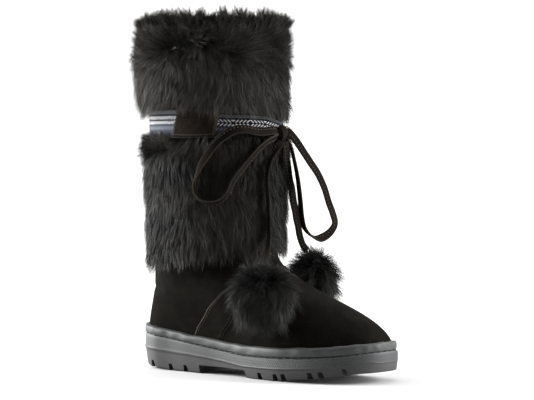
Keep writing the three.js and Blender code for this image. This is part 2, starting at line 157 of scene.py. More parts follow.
# Place from which the collar's fur spreads like a star
STAR = {"at": 102.0, "height": 309.0, "radius": 62.0, "reach": 12.0, "share": 0.25}
RIBBON = {
    "low": 217.0, "high": 243.0, "inner": 0.5, "thick": 0.9, "fall": 2.4, "pinch": 0.2,
    "dip": 5.0, "dip_at": 200.0, "dip_reach": 22.0,
}
TAB = {
    "low": 218.0, "high": 243.0, "from": 88.5, "to": 126.5, "slant": 6.0, "thick": 1.6, "clear": 1.7,
    "bow": 0.5, "sag": 0.8, "stitch_step": 2.9, "stitch_lift": 0.07,
}
LACE = {"width": 8.0, "thick": 2.2, "step": 1.6, "sides": 14, "stitch_aside": 1.6, "stitch_lift": 0.44}
KNOT = {"middle": (151.2, 6.0, 221.0), "half": (5.0, 6.4, 7.0), "wrap_half": 3.6, "wrap_slant": 0.35}
SHAFT_MIDDLE = np.array([80.0, 0, 0])
WELT = {"rows": 15, "pucker": 0.34, "ripple": 0.28, "overlap": 0.15}
WELT_SEAM = {"step": 7.6, "inset": 1.75, "behind": 0.9, "drop": 0.15, "lean": 0.10}
LINING = {"steps": 120, "from": 0.16, "pile": 2.2, "back": 0.3}
RIM = {"radius": 4.0, "below": 14, "out": 0.5, "from": 0.75, "to": 2.3}
# Sizes of the stitches
LACE_STITCH = {"length": 1.7, "width": 0.75, "height": 0.35}
WELT_STITCH = {"length": 5.4, "width": 1.3, "height": 0.6, "sides": 8}
STRIP_STITCH = {"length": 1.4, "width": 0.5, "height": 0.25}
TAB_STITCH = {"length": 1.9, "width": 0.75, "height": 0.35}

# Routes of the lace from the knot outwards
LOOP_LEFT = (
    (152, -1, 224), (154, -10, 224), (153, -20, 223), (150, -29, 223), (145, -37, 225), (138, -46, 224),
    (130, -52, 218), (123, -56, 211), (113, -60, 196), (108, -62, 185), (104, -62, 175), (105, -61, 166),
    (111, -59, 160), (119, -55, 158), (126, -51, 160), (132, -47, 167), (136, -45, 177), (141, -40, 187),
    (147, -33, 198), (151, -27, 206), (154, -18, 213), (154, -9, 216), (152, -1, 218),
)
LOOP_RIGHT = (
    (152, 14, 224), (155, 18, 220), (158, 22, 214), (161, 29, 204), (164, 36, 194), (167, 43, 184),
    (170, 49, 171), (172, 53, 158), (174, 57, 147), (175, 59, 138), (173, 56, 131), (170, 50, 126),
    (167, 43, 124), (164, 36, 127), (161, 30, 134), (160, 27, 145), (160, 25, 158), (160, 23, 170),
    (160, 20, 183), (159, 17, 196), (157, 15, 208), (153, 14, 215),
)
TAIL_LEFT = (
    (155, 1, 214), (155.5, -4, 209), (155, -8, 204), (154, -13, 198), (154, -16, 191), (153, -17, 184),
    (153, -17, 176), (153, -16, 168), (153, -15, 160), (153, -15, 152), (153, -14, 144), (153, -14, 136),
    (154, -15, 129), (156, -19, 121), (160, -26, 114), (165, -35, 108), (170, -43, 104),
    (173.1, -47.7, 101.7),
)
TAIL_RIGHT = (
    (155, 7, 214), (156, 8, 207), (155, 10, 199), (154, 13, 192), (153, 16, 185), (152, 19, 178),
    (152, 22, 171), (151, 25, 164), (150, 28, 157), (149, 32, 150), (148, 35, 143), (147, 39, 136),
    (146, 42, 129), (146, 45, 122), (147, 47, 117), (149, 50, 112),
)
# How far each lace's flat side turns away from the boot, in degrees by part of its length, and how pale its
# cut edges are
LACES = {
    "lace_loop_left": {
        "route": LOOP_LEFT, "pale": 0.75,
        "at": (0, 0.2, 0.38, 0.5, 0.62, 0.75, 1), "turn": (20, 15, 35, 88, 62, 46, 36)},
    "lace_loop_right": {
        "route": LOOP_RIGHT, "pale": 0.75, "at": (0, 0.3, 0.5, 0.7, 1), "turn": (20, 33, 40, 50, 40)},
    # The left tail's cut edges are hardly paler than its face: painted shade where it lies sunk in the fur
    "lace_tail_left": {
        "route": TAIL_LEFT, "pale": 0.1, "at": (0, 0.2, 0.6, 1), "turn": (50, 100, 112, 80)},
    "lace_tail_right": {
        "route": TAIL_RIGHT, "pale": 0.6, "at": (0, 0.5, 1), "turn": (20, 36, 40)},
}
# Each pompom's tone is painted light and shade: the left one, which the left lamp strikes, is darker, and the
# right one, which gets less light, is paler
POMPOMS = {
    "pompom_left": {"middle": (177.6, -56.0, 78.0), "lean": -65.0, "reach": 34.0, "tone": 0.15, "seed": 11},
    "pompom_right": {"middle": (153.6, 52.8, 84.8), "lean": 75.0, "reach": 36.0, "tone": 0.5, "seed": 12},
}
POMPOM = {"radius": 28.0, "flat": 18.0, "locks": 1500, "root": 0.66, "core": 0.64}


# Curves and surfaces of the boot

def smooth(low, high, value):
    """Share from 0 at low to 1 at high, with level ends."""
    part = np.clip((value - low) / (high - low), 0, 1)
    return part * part * (3 - 2 * part)


def blend(a, b, part):
    """Value part of the way from a to b."""
    return a + (b - a) * part


def unit(vectors):
    """Vectors of length 1."""
    return vectors / np.maximum(np.linalg.norm(vectors, axis=-1, keepdims=True), 1e-12)


def bell(value, middle, reach):
    """Bell curve: 1 at its middle, and e to the minus 1 at its reach on either side."""
    return np.exp(-(((value - middle) / reach) ** 2))


def signed_power(value, power):
    """Power of a value's size, with the value's sign."""
    return np.sign(value) * np.abs(value) ** power


def square_to(vectors, axes):
    """Vectors of length 1 at right angles to axes: their part along the axes is taken out."""
    return unit(vectors - (vectors * axes).sum(-1, keepdims=True) * axes)


def hermite(t):
    """Weights of a cubic's start, end, leaving slope and arriving slope."""
    return 2 * t**3 - 3 * t**2 + 1, 3 * t**2 - 2 * t**3, t**3 - 2 * t**2 + t, t**3 - t**2


def along(table, column, at):
    """Column of a table at a place: a cubic through its rows that stays level where rows turn back."""
    x = np.asarray(table["at"], float)
    y = np.asarray(table[column], float)
    step = np.diff(y)
    span = np.diff(x)
    inner = (y[2:] - y[:-2]) / (x[2:] - x[:-2])
    inner[step[1:] * step[:-1] <= 0] = 0
    slope = np.concatenate([[step[0] / span[0]], inner, [step[-1] / span[-1]]])
    k = np.clip(np.searchsorted(x, at) - 1, 0, len(x) - 2)
    start, end, leave, arrive = hermite(np.clip((at - x[k]) / span[k], 0, 1))
    return start * y[k] + end * y[k + 1] + span[k] * (leave * slope[k] + arrive * slope[k + 1])


def ring_angles(count):
    """Angles round the boot: 0 at the heel, a quarter turn at the outer side, half a turn at the toe."""
    return np.arange(count) * 2 * np.pi / count


def outline(angle):
    """Sole outline: X by the cosine of the angle, half width rounded off at heel and toe."""
    share = (1 - np.cos(angle)) / 2
    run = LENGTH * share
    heel = np.maximum(1 - run / HEEL_ROUND, 0)
    toe = np.clip(1 - (LENGTH - run) / TOE_ROUND, 0, 1)
    full = np.sqrt(1 - heel**2) * (1 - toe**TOE_POWER) ** (1 / TOE_POWER)
    side = np.sign(np.sin(angle)) * along(OUTLINE, "half", share) * full
    return np.stack([HEEL_BACK + run, along(OUTLINE, "bow", share) - side], -1)


def share_at(x):
    """Share of the sole's length at an X."""
    return (x - HEEL_BACK) / LENGTH


def outward(angle):
    """Outward direction of the outline, from two near points of it."""
    reach = np.pi / 64
    ahead = outline(angle + reach) - outline(angle - reach)
    return unit(np.stack([ahead[..., 1], -ahead[..., 0]], -1))


def level(name, share):
    """Height of one level of the sole; the bead steps up where the toe bumper starts."""
    height = along(LEVELS, name, share)
    if name == "bead":
        x = HEEL_BACK + share * LENGTH
        step = smooth(BUMPER["from"], BUMPER["to"], x)
        height = height + BUMPER["rise"] * step * (1 - smooth(BUMPER["to"], HEEL_BACK + LENGTH, x))
    return height


def sole_ring(angle, inset, low, high, part, lift=0.0):
    """Ring at an inset from the outline, part of the way up from one level to just below another."""
    edge = outline(angle)
    share = share_at(edge[:, 0])
    z = blend(level(low, share), level(high, share) - LAYER_GAP, part) + lift
    return np.column_stack([edge - np.reshape(inset, (-1, 1)) * outward(angle), z])


def shaft_point(angle, height, depth):
    """Point of the shaft's oval at a height, moved outwards by a depth."""
    long = along(SHAFT, "long", height) + depth
    wide = along(SHAFT, "wide", height) + depth
    x = along(SHAFT, "middle", height) - long * np.cos(angle)
    return np.stack(np.broadcast_arrays(x, -wide * np.sin(angle), height), -1)


def shaft_out(angle, height):
    """Outward direction of the shaft's oval."""
    x = -np.cos(angle) / along(SHAFT, "long", height)
    y = -np.sin(angle) / along(SHAFT, "wide", height)
    return unit(np.stack(np.broadcast_arrays(x, y, 0.0), -1))


def foot_point(angle, t):
    """Foot of the upper: a cubic from the edge of the sole up and over to the ankle's oval."""
    angle, t = np.broadcast_arrays(angle, t)
    edge = outline(angle)
    share = share_at(edge[..., 0])
    edge = edge - along(EDGES, "feather", share)[..., None] * outward(angle)
    ankle = shaft_point(angle, ANKLE_HEIGHT - ANKLE_TILT * np.cos(angle), 0.0)
    start, end, leave, arrive = hermite(t)
    z = start * along(LEVELS, "groove", share) + end * ankle[..., 2]
    z = z + leave * along(FULLNESS, "sole", share) + arrive * along(FULLNESS, "ankle", share)
    flat = start[..., None] * edge + end[..., None] * ankle[..., :2]
    return np.concatenate([flat, z[..., None]], -1)


def upper_point(angle, t):
    """Outside of the upper: the foot for t from 0 to 1, then straight up the shaft to the collar at 2."""
    angle, t = np.broadcast_arrays(angle, t)
    ankle = ANKLE_HEIGHT - ANKLE_TILT * np.cos(angle)
    shaft = shaft_point(angle, blend(ankle, COLLAR_HEIGHT, np.clip(t - 1, 0, 1)), 0.0)
    return np.where(t[..., None] <= 1, foot_point(angle, np.clip(t, 0, 1)), shaft)


def upper_out(angle, t):
    """Outward direction of the upper, from near points of it."""
    reach = 0.004
    across = upper_point(angle + reach, t) - upper_point(angle - reach, t)
    up = upper_point(angle, np.clip(t + reach, 0, 2)) - upper_point(angle, np.clip(t - reach, 0, 2))
    return unit(np.cross(across, up))


def swell(angle, t):
    """Height of the creases over the smooth upper: a sum of soft bumps and troughs."""
    total = np.zeros(np.broadcast(angle, t).shape)
    for at, part, reach, span, height in CREASES:
        turn = (np.degrees(angle) - at + 180) % 360 - 180
        total += height * bell(turn, 0, reach) * bell(t, part, span)
    return total


def over_upper(angle, t, rise):
    """Point at a rise over the creased upper, and the outward direction there."""
    out = upper_out(angle, t)
    return upper_point(angle, t) + (rise + swell(angle, t))[..., None] * out, out


def foot_at_height(angle, height):
    """Point where the foot of the upper reaches a height, found by halving."""
    low = np.zeros_like(angle)
    high = np.ones_like(angle)
    for _ in range(30):
        middle = (low + high) / 2
        is_below = foot_point(angle, middle)[:, 2] < height
        low = np.where(is_below, middle, low)
        high = np.where(is_below, high, middle)
    return foot_point(angle, low)


def foot_ring(angle, height, depth):
    """Ring on the outside of the foot at a height, moved inwards by a depth."""
    ring = foot_at_height(angle, height)
    ring[:, :2] -= depth * outward(angle)
    ring[:, 2] = height
    return ring


def wander(angle, waves, rng):
    """Smooth random curve round the boot: sines of whole numbers of waves with random starts."""
    starts = rng.uniform(0, 2 * np.pi, len(waves))
    total = sum(np.sin(count * angle + start) for count, start in zip(waves, starts))
    return total / math.sqrt(len(waves))


def wander_over(angle, rise, waves, rng):
    """Smooth random field round and up the boot: sines that run slanting over the surface."""
    total = 0.0
    for around, up in waves:
        total = total + np.sin(around * angle + up * rise + rng.uniform(0, 2 * np.pi))
    return total / math.sqrt(len(waves))


# Making pieces

def place(points):
    """Millimetres from the heel's back as metres in the model's frame."""
    moved = np.asarray(points, float) * MM
    return moved + np.array([ORIGIN, 0, 0])


def grid_corners(rows, columns, wrap=0):
    """Row and column of the four corners of every quad between rings of points, before they wrap round.
    With a wrap of 1 the last ring is joined to the first."""
    row, column = np.meshgrid(np.arange(rows - 1 + wrap), np.arange(columns), indexing="ij")
    row = row.reshape(-1, 1) + np.array([0, 0, 1, 1])
    column = column.reshape(-1, 1) + np.array([0, 1, 1, 0])
    return row, column


def grid_faces(rows, columns, wrap=0):
    """Quads between rings of points."""
    row, column = grid_corners(rows, columns, wrap)
    return (row % rows) * columns + column % columns


def cap_faces(first, count, up):
    """Strips that close a ring of points from its one side to its other, facing up or down."""
    step = np.arange(1, count // 2 - 1)
    quads = first + np.stack([step, step + 1, count - step - 1, count - step], -1)
    half = count // 2
    ends = first + np.array([[0, 1, count - 1], [half - 1, half, half + 1]])
    if up:
        return quads, ends
    return quads[:, ::-1], ends[:, ::-1]


def closed_faces(rows, count):
    """Faces of a stack of rings that is closed at its top and bottom: the sides first, then the caps."""
    top, top_ends = cap_faces((rows - 1) * count, count, True)
    low, low_ends = cap_faces(0, count, False)
    return grid_faces(rows, count), top, low, top_ends, low_ends


def end_faces(rows, count):
    """One face over the first ring of a stack and one over the last."""
    step = np.arange(count)
    return np.stack([step[::-1], (rows - 1) * count + step])


def make_mesh(name, points, *face_groups):
    """Mesh from points in millimetres and arrays of faces, each array with its own number of corners."""
    mesh = bpy.data.meshes.new(name)
    placed = place(points).astype(np.float32)
    corners = np.concatenate([group.ravel() for group in face_groups]).astype(np.int32)
    sizes = np.concatenate([np.full(len(group), group.shape[1]) for group in face_groups])
    starts = np.concatenate([[0], np.cumsum(sizes)[:-1]]).astype(np.int32)
    mesh.vertices.add(len(placed))
    mesh.vertices.foreach_set("co", placed.ravel())
    mesh.loops.add(len(corners))
    mesh.loops.foreach_set("vertex_index", corners)
    mesh.polygons.add(len(starts))
    mesh.polygons.foreach_set("loop_start", starts)
    mesh.update(calc_edges=True)
    mesh.validate()
    return mesh


def make_piece(mesh, material, node=None, crease=None):
    """Object of a mesh that rides on the boot, shaded smooth up to a crease angle in degrees."""
    piece = bpy.data.objects.new(mesh.name, mesh)
    bpy.context.scene.collection.objects.link(piece)
    mesh.materials.append(material)
    mesh.shade_smooth()
    if crease:
        mesh.set_sharp_from_angle(angle=math.radians(crease))
    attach(piece, "root")
    if node:
        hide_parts(node)
    return piece


def set_values(mesh, name, values):
    """Number for each point of a mesh, for its material to read."""
    layer = mesh.attributes.new(name, "FLOAT", "POINT")
    layer.data.foreach_set("value", np.asarray(values, np.float32).ravel())


def set_uv(mesh, corner_uv):
    """UV map from one pair for each corner."""
    mesh.uv_layers.new(name="UVMap").data.foreach_set("uv", np.asarray(corner_uv, np.float32).ravel())


def run_length(points):
    """Distance along a line of points from its start."""
    return np.concatenate([[0], np.cumsum(np.linalg.norm(np.diff(points, axis=0), axis=1))])


def even_points(points, step):
    """Line of points again, evenly spaced and close to a step apart."""
    run = run_length(points)
    at = np.linspace(0, run[-1], max(2, int(round(run[-1] / step)) + 1))
    return np.stack([np.interp(at, run, points[:, axis]) for axis in range(3)], -1)


def dashes(middles, ahead, out, length, width, height, sides=6):
    """Stitches as joined mesh arrays: each is a low pillow, a ring of points at half height with a crown
    above and a foot below, longer along its seam than across it."""
    ahead = unit(ahead)
    aside = unit(np.cross(out, ahead))
    turn = ring_angles(sides)[None, :, None]
    ring = length / 2 * np.cos(turn) * ahead[:, None] + width / 2 * np.sin(turn) * aside[:, None]
    crown = 0.55 * ring + height * out[:, None]
    foot = 0.55 * ring - height * out[:, None]
    points = middles[:, None] + np.concatenate([foot, ring, crown], 1)
    base = (np.arange(len(middles)) * 3 * sides)[:, None, None]
    quads = (base + grid_faces(3, sides)[None]).reshape(-1, 4)
    top = base[:, 0] + 2 * sides + np.arange(sides)[None]
    bottom = base[:, 0] + np.arange(sides)[::-1][None]
    return points.reshape(-1, 3), quads, top, bottom


def sew(name, thread, seams, **size):
    """Stitches of some seams, each given by its middles and their ahead and outward directions."""
    middles, aheads, outs = (np.concatenate(group) for group in zip(*seams))
    return make_piece(make_mesh(name, *dashes(middles, aheads, outs, **size)), thread)


# Materials

def colour(code):
    """sRGB hex code as linear red, green and blue, with alpha 1."""
    part = np.array([int(code[k:k + 2], 16) for k in (1, 3, 5)]) / 255
    linear = np.where(part <= 0.04045, part / 12.92, ((part + 0.055) / 1.055) ** 2.4)
    return (*linear.tolist(), 1.0)


def per_mm(size):
    """Scale of a pattern whose features are a size in millimetres apart."""
    return 1 / (size * MM)


def wave_scale(size):
    """Scale of a wave that repeats every size: at scale 1 it repeats every 2 pi / 20."""
    return math.pi / 10 / size


def set_inputs(tree, node, inputs):
    """Sets inputs of a node; each is a value or the socket that feeds it."""
    for key, value in inputs.items():
        if isinstance(value, bpy.types.NodeSocket):
            tree.links.new(value, node.inputs[key])
        else:
            node.inputs[key].default_value = value


def add_node(tree, kind, inputs=(), **settings):
    """Shader node of a kind, with its settings and inputs."""
    node = tree.nodes.new("ShaderNode" + kind)
    for name, value in settings.items():
        setattr(node, name, value)
    set_inputs(tree, node, dict(inputs))
    return node


def new_material(name, **sockets):
    """Material with the principled shader's own sockets set, and its node tree and shader."""
    material = bpy.data.materials.new(name)
    material.use_nodes = True
    tree = material.node_tree
    shader = tree.nodes["Principled BSDF"]
    set_inputs(tree, shader, {key.replace("_", " "): value for key, value in sockets.items()})
    return material, tree, shader


# Places of the sockets of a node that mixes colours
SHARE = 0
FROM = 6
TO = 7
MIXED = 2
# Crossed ribs: how they turn, how high they stand, and the stretches in X over which their strength changes
KNURL = {
    "turns": (35, -50), "high": 0.32,
    "stretches": ((BUMPER["to"] - 4, BUMPER["to"], 1, 0), (80, 150, 0.25, 1)),
}


def moulded_rubber(name, dark, light, knurl=None):
    """Moulded rubber, matt from a sand-blasted mould: a mid grey with faint clouds, soft broad gloss and a
    fine pebbled grain. A knurl adds crossed slanting ribs, faint at the heel, that stop at the toe bumper."""
    material, tree, shader = new_material(name, Roughness=0.6, Specular_IOR_Level=0.3, IOR=1.5)
    spot = add_node(tree, "TexCoord").outputs["Object"]
    clouds = add_node(tree, "TexNoise", {"Vector": spot, "Scale": per_mm(16), "Detail": 4}).outputs["Fac"]
    tone = add_node(tree, "Mix", {SHARE: clouds, FROM: colour(dark), TO: colour(light)}, data_type="RGBA")
    # The pebbles of such a mould are about 0.3 mm and are drawn at 0.9 mm to show
    grain = add_node(tree, "TexNoise", {"Vector": spot, "Scale": per_mm(0.9), "Detail": 2}).outputs["Fac"]
    bump = add_node(tree, "Bump", {"Height": grain, "Strength": 0.25, "Distance": 0.2 * MM})
    if knurl:
        uv = add_node(tree, "UVMap", uv_map="UVMap").outputs["UV"]
        ways = []
        for turn in KNURL["turns"]:
            slant = add_node(tree, "Mapping", {"Vector": uv, "Rotation": (0, 0, math.radians(turn))})
            wave = add_node(tree, "TexWave", {"Vector": slant.outputs[0], "Scale": wave_scale(knurl)})
            ways.append(wave.outputs["Fac"])
        ribs = add_node(tree, "Math", {0: ways[0], 1: ways[1]}, operation="MULTIPLY")
        x = add_node(tree, "SeparateXYZ", {"Vector": spot}).outputs["X"]
        fades = []
        for start, end, first, last in KNURL["stretches"]:
            fade = add_node(tree, "MapRange", {
                "Value": x, "From Min": ORIGIN + start * MM, "From Max": ORIGIN + end * MM,
                "To Min": first, "To Max": last})
            fades.append(fade.outputs[0])
        show = add_node(tree, "Math", {0: fades[0], 1: fades[1]}, operation="MULTIPLY")
        bump = add_node(tree, "Bump", {
            "Height": ribs.outputs[0], "Strength": show.outputs[0], "Distance": KNURL["high"] * MM,
            "Normal": bump.outputs[0]})
    set_inputs(tree, shader, {"Base Color": tone.outputs[MIXED], "Normal": bump.outputs[0]})
    return material


def suede(name, dark, light, edge=None):
    """Suede, a buffed split: near black with cloudy stroked nap, no gloss, a short fuzz that lightens towards
    grazing light, and paler cut edges where the piece marks them."""
    material, tree, shader = new_material(
        name, Roughness=0.95, Specular_IOR_Level=0.02, Sheen_Weight=0.012, Sheen_Roughness=0.5,
        Sheen_Tint=colour("#8a8178"))
    spot = add_node(tree, "TexCoord").outputs["Object"]
    nap = add_node(tree, "TexNoise", {"Vector": spot, "Scale": per_mm(22), "Detail": 3, "Distortion": 0.6})
    # Nap fibres are finer than 0.2 mm and are drawn at 1.3 mm to show
    fibre = add_node(tree, "TexNoise", {"Vector": spot, "Scale": per_mm(1.3), "Detail": 3}).outputs["Fac"]
    both = add_node(tree, "Math", {0: nap.outputs["Fac"], 1: fibre}, operation="MULTIPLY")
    share = add_node(tree, "MapRange", {"Value": both.outputs[0], "From Min": 0.15, "From Max": 0.37})
    tone = add_node(tree, "Mix", {
        SHARE: share.outputs[0], FROM: colour(dark), TO: colour(light)}, data_type="RGBA")
    if edge:
        cut = add_node(tree, "Attribute", attribute_name="cut").outputs["Fac"]
        tone = add_node(tree, "Mix", {
            SHARE: cut, FROM: tone.outputs[MIXED], TO: colour(edge)}, data_type="RGBA")
    bump = add_node(tree, "Bump", {"Height": fibre, "Strength": 0.6, "Distance": 0.3 * MM})
    set_inputs(tree, shader, {"Base Color": tone.outputs[MIXED], "Normal": bump.outputs[0]})
    return material


def fur_hair(name, root, tip, pale):
    """Dyed rabbit fur: each hair dark at its root and lighter towards its tip, from near black to grey from
    hair to hair, with a silky gloss."""
    material, tree, shader = new_material(name, Roughness=0.55, Specular_IOR_Level=0.12, IOR=1.55)
    run = add_node(tree, "Attribute", attribute_name="along").outputs["Fac"]
    shade = add_node(tree, "Attribute", attribute_name="shade").outputs["Fac"]
    end = add_node(tree, "Mix", {SHARE: shade, FROM: colour(tip), TO: colour(pale)}, data_type="RGBA")
    tone = add_node(tree, "Mix", {SHARE: run, FROM: colour(root), TO: end.outputs[MIXED]}, data_type="RGBA")
    set_inputs(tree, shader, {"Base Color": tone.outputs[MIXED]})
    return material


def pile(name, dark, light, size, fuzz):
    """Knitted pile or undercoat: tufts of a size in millimetres, dark between them and without gloss."""
    material, tree, shader = new_material(name, Roughness=1.0, Specular_IOR_Level=0.05, Sheen_Weight=fuzz)
    spot = add_node(tree, "TexCoord").outputs["Object"]
    tuft = add_node(tree, "TexNoise", {"Vector": spot, "Scale": per_mm(size), "Detail": 3}).outputs["Fac"]
    tone = add_node(tree, "Mix", {SHARE: tuft, FROM: colour(dark), TO: colour(light)}, data_type="RGBA")
    bump = add_node(tree, "Bump", {"Height": tuft, "Strength": 0.8, "Distance": 1.2 * MM})
    set_inputs(tree, shader, {"Base Color": tone.outputs[MIXED], "Normal": bump.outputs[0]})
    return material


def woven_ribbon(name):
    """Jacquard ribbon: cotton threads in the colours of its chart, with the ribs of the weft standing up."""
    material, tree, shader = new_material(name, Roughness=0.95, Specular_IOR_Level=0.05)
    chart = add_node(tree, "Attribute", attribute_name="chart").outputs["Color"]
    uv = add_node(tree, "UVMap", uv_map="UVMap").outputs["UV"]
    # Weft threads lie 0.36 mm apart and are drawn at 0.72 mm, a row of the chart
    threads = add_node(tree, "TexWave", {"Vector": uv, "Scale": wave_scale(0.72)}, bands_direction="Y")
    bump = add_node(tree, "Bump", {"Height": threads.outputs["Fac"], "Strength": 0.6, "Distance": 0.2 * MM})
    set_inputs(tree, shader, {"Base Color": chart, "Normal": bump.outputs[0]})
    return material


def spun_thread(name, code):
    """Spun polyester sewing thread: plain dyed, with a dull gloss and a fine twist."""
    material, tree, shader = new_material(
        name, Base_Color=colour(code), Roughness=0.6, Specular_IOR_Level=0.3)
    spot = add_node(tree, "TexCoord").outputs["Object"]
    twist = add_node(tree, "TexNoise", {"Vector": spot, "Scale": per_mm(0.4)}).outputs["Fac"]
    bump = add_node(tree, "Bump", {"Height": twist, "Strength": 0.3, "Distance": 0.1 * MM})
    set_inputs(tree, shader, {"Normal": bump.outputs[0]})
    return material


def floor_paper(name):
    """Matt pale background paper: even and without gloss."""
    return new_material(name, Base_Color=colour("#b2b2b2"), Roughness=1.0, Specular_IOR_Level=0.0)[0]


SOLE_RUBBER = moulded_rubber("moulded_rubber_sole", "#2a2a2b", "#323233")
MIDSOLE_RUBBER = moulded_rubber("moulded_rubber_knurled", "#28292a", "#303132", knurl=1.9)
WELT_RUBBER = moulded_rubber("moulded_rubber_welt", "#292a2a", "#323333")
UPPER_SUEDE = suede("buffed_suede_black", "#080706", "#11100c")
STRIP_SUEDE = suede("buffed_suede_cut", "#080706", "#11100c", edge="#7a7164")
TAB_SUEDE = suede("buffed_suede_tab", "#13100d", "#27211c", edge="#4a443c")
LACE_SUEDE = suede("folded_suede_lace", "#0e0c0b", "#1b1815", edge="#34302a")
COLLAR_HAIR = fur_hair("rabbit_fur_dyed", "#080807", "#161512", "#57534d")
POMPOM_HAIR = fur_hair("rabbit_fur_pompom", "#0d0d0c", "#171716", "#4a4a47")
UNDERCOAT = pile("rabbit_fur_undercoat", "#0d0c0b", "#1b1917", 3.0, 0.02)
FLEECE = pile("knitted_fleece_pile", "#161514", "#34312e", 2.2, 0.2)
RIBBON_WEAVE = woven_ribbon("jacquard_ribbon")
WELT_THREAD = spun_thread("waxed_thread_dark", "#161616")
SEAM_THREAD = spun_thread("spun_thread_grey", "#443f39")
STRIP_THREAD = spun_thread("spun_thread_brown", "#37322c")
FLOOR_PAPER = floor_paper("background_paper_pale")


# Camera at the photograph's angle: turned from the outer side towards the toe, just above the middle
CAMERA = {"aim": (110.0, 0.0, 0.0), "turn": 38.0, "away": 1900.0, "high": 200.0, "dip": 1.212}
PICTURE = {"width": 534.0, "focal": 2046.0, "axis": 241.08, "sensor": 36.0}


def make_camera():
    """Camera whose lens and place give the photograph's perspective, turned so that no shift is needed."""
    turn = math.radians(CAMERA["turn"])
    back = Vector((math.sin(turn), -math.cos(turn), 0))
    right = Vector((math.cos(turn), math.sin(turn), 0))
    ahead = -back - Vector((0, 0, math.tan(math.radians(CAMERA["dip"]))))
    ahead += right * (PICTURE["width"] / 2 - PICTURE["axis"]) / PICTURE["focal"]
    data = bpy.data.cameras.new("camera")
    data.sensor_width = PICTURE["sensor"]
    data.lens = PICTURE["focal"] / PICTURE["width"] * PICTURE["sensor"]
    data.clip_end = 100
    camera = bpy.data.objects.new("camera", data)
    spot = np.array(CAMERA["aim"]) + CAMERA["away"] * np.array(back) + np.array([0, 0, CAMERA["high"]])
    camera.location = place(spot)
    camera.rotation_mode = "QUATERNION"
    camera.rotation_quaternion = ahead.to_track_quat("-Z", "Y")
    bpy.context.scene.collection.objects.link(camera)
    bpy.context.scene.camera = camera


make_camera()


# Lace: cords, knot and pompoms

def lace_line(route, fine=8):
    """Smooth line through a route: each stretch is a cubic with slopes from the points on both sides."""
    route = np.asarray(route, float)
    slope = np.gradient(route, axis=0)
    start, end, leave, arrive = (weight[None, :, None] for weight in hermite(np.arange(fine) / fine))
    line = start * route[:-1, None] + end * route[1:, None]
    line = line + leave * slope[:-1, None] + arrive * slope[1:, None]
    return np.concatenate([line.reshape(-1, 3), route[-1:]])


def lace_frame(name, line):
    """Directions ahead, out of the flat side and across the lace: the flat side faces away from the shaft's
    middle and turns by the lace's own turn."""
    ahead = unit(np.gradient(line, axis=0))
    out = line - SHAFT_MIDDLE
    out[:, 2] = 0
    out = square_to(out, ahead)
    across = np.cross(ahead, out)
    run = run_length(line)
    turn = np.radians(along(LACES[name], "turn", run / run[-1]))[:, None]
    face = np.cos(turn) * out + np.sin(turn) * across
    return ahead, face, np.cross(ahead, face)


def make_lace(name):
    """Flat suede lace: a rounded flat section carried along its line, and a row of stitches beside the
    middle of each flat side."""
    line = even_points(lace_line(LACES[name]["route"]), LACE["step"])
    ahead, face, across = lace_frame(name, line)
    turn = ring_angles(LACE["sides"])
    half = LACE["width"] / 2
    wide = half * signed_power(np.cos(turn), 0.55)
    thick = LACE["thick"] / 2 * signed_power(np.sin(turn), 0.8) * (1 - 0.25 * bell(wide, 0, 1.0))
    points = line[:, None] + wide[None, :, None] * across[:, None] + thick[None, :, None] * face[:, None]
    rows, count = points.shape[:2]
    mesh = make_mesh(name, points.reshape(-1, 3), grid_faces(rows, count), end_faces(rows, count))
    set_values(mesh, "cut", np.tile(LACES[name]["pale"] * smooth(0.80, 1.0, np.abs(wide) / half), rows))
    piece = make_piece(mesh, LACE_SUEDE, node=name, crease=60)
    at = np.arange(3, rows - 2, 2)
    seams = []
    for side in (1, -1):
        lift = side * LACE["stitch_lift"] * LACE["thick"]
        middles = line[at] + lift * face[at] + LACE["stitch_aside"] * across[at]
        seams.append((middles, ahead[at], side * face[at]))
    return piece, sew(name + "_stitches", SEAM_THREAD, seams, **LACE_STITCH), line


def ball_points(count, lifts):
    """Ball of radius 1 as rings of points, one for each lift, with the turn and lift of each."""
    turn, lift = np.meshgrid(ring_angles(count), lifts)
    points = np.stack([np.cos(lift) * np.cos(turn), np.cos(lift) * np.sin(turn), np.sin(lift)], -1)
    return points, turn, lift


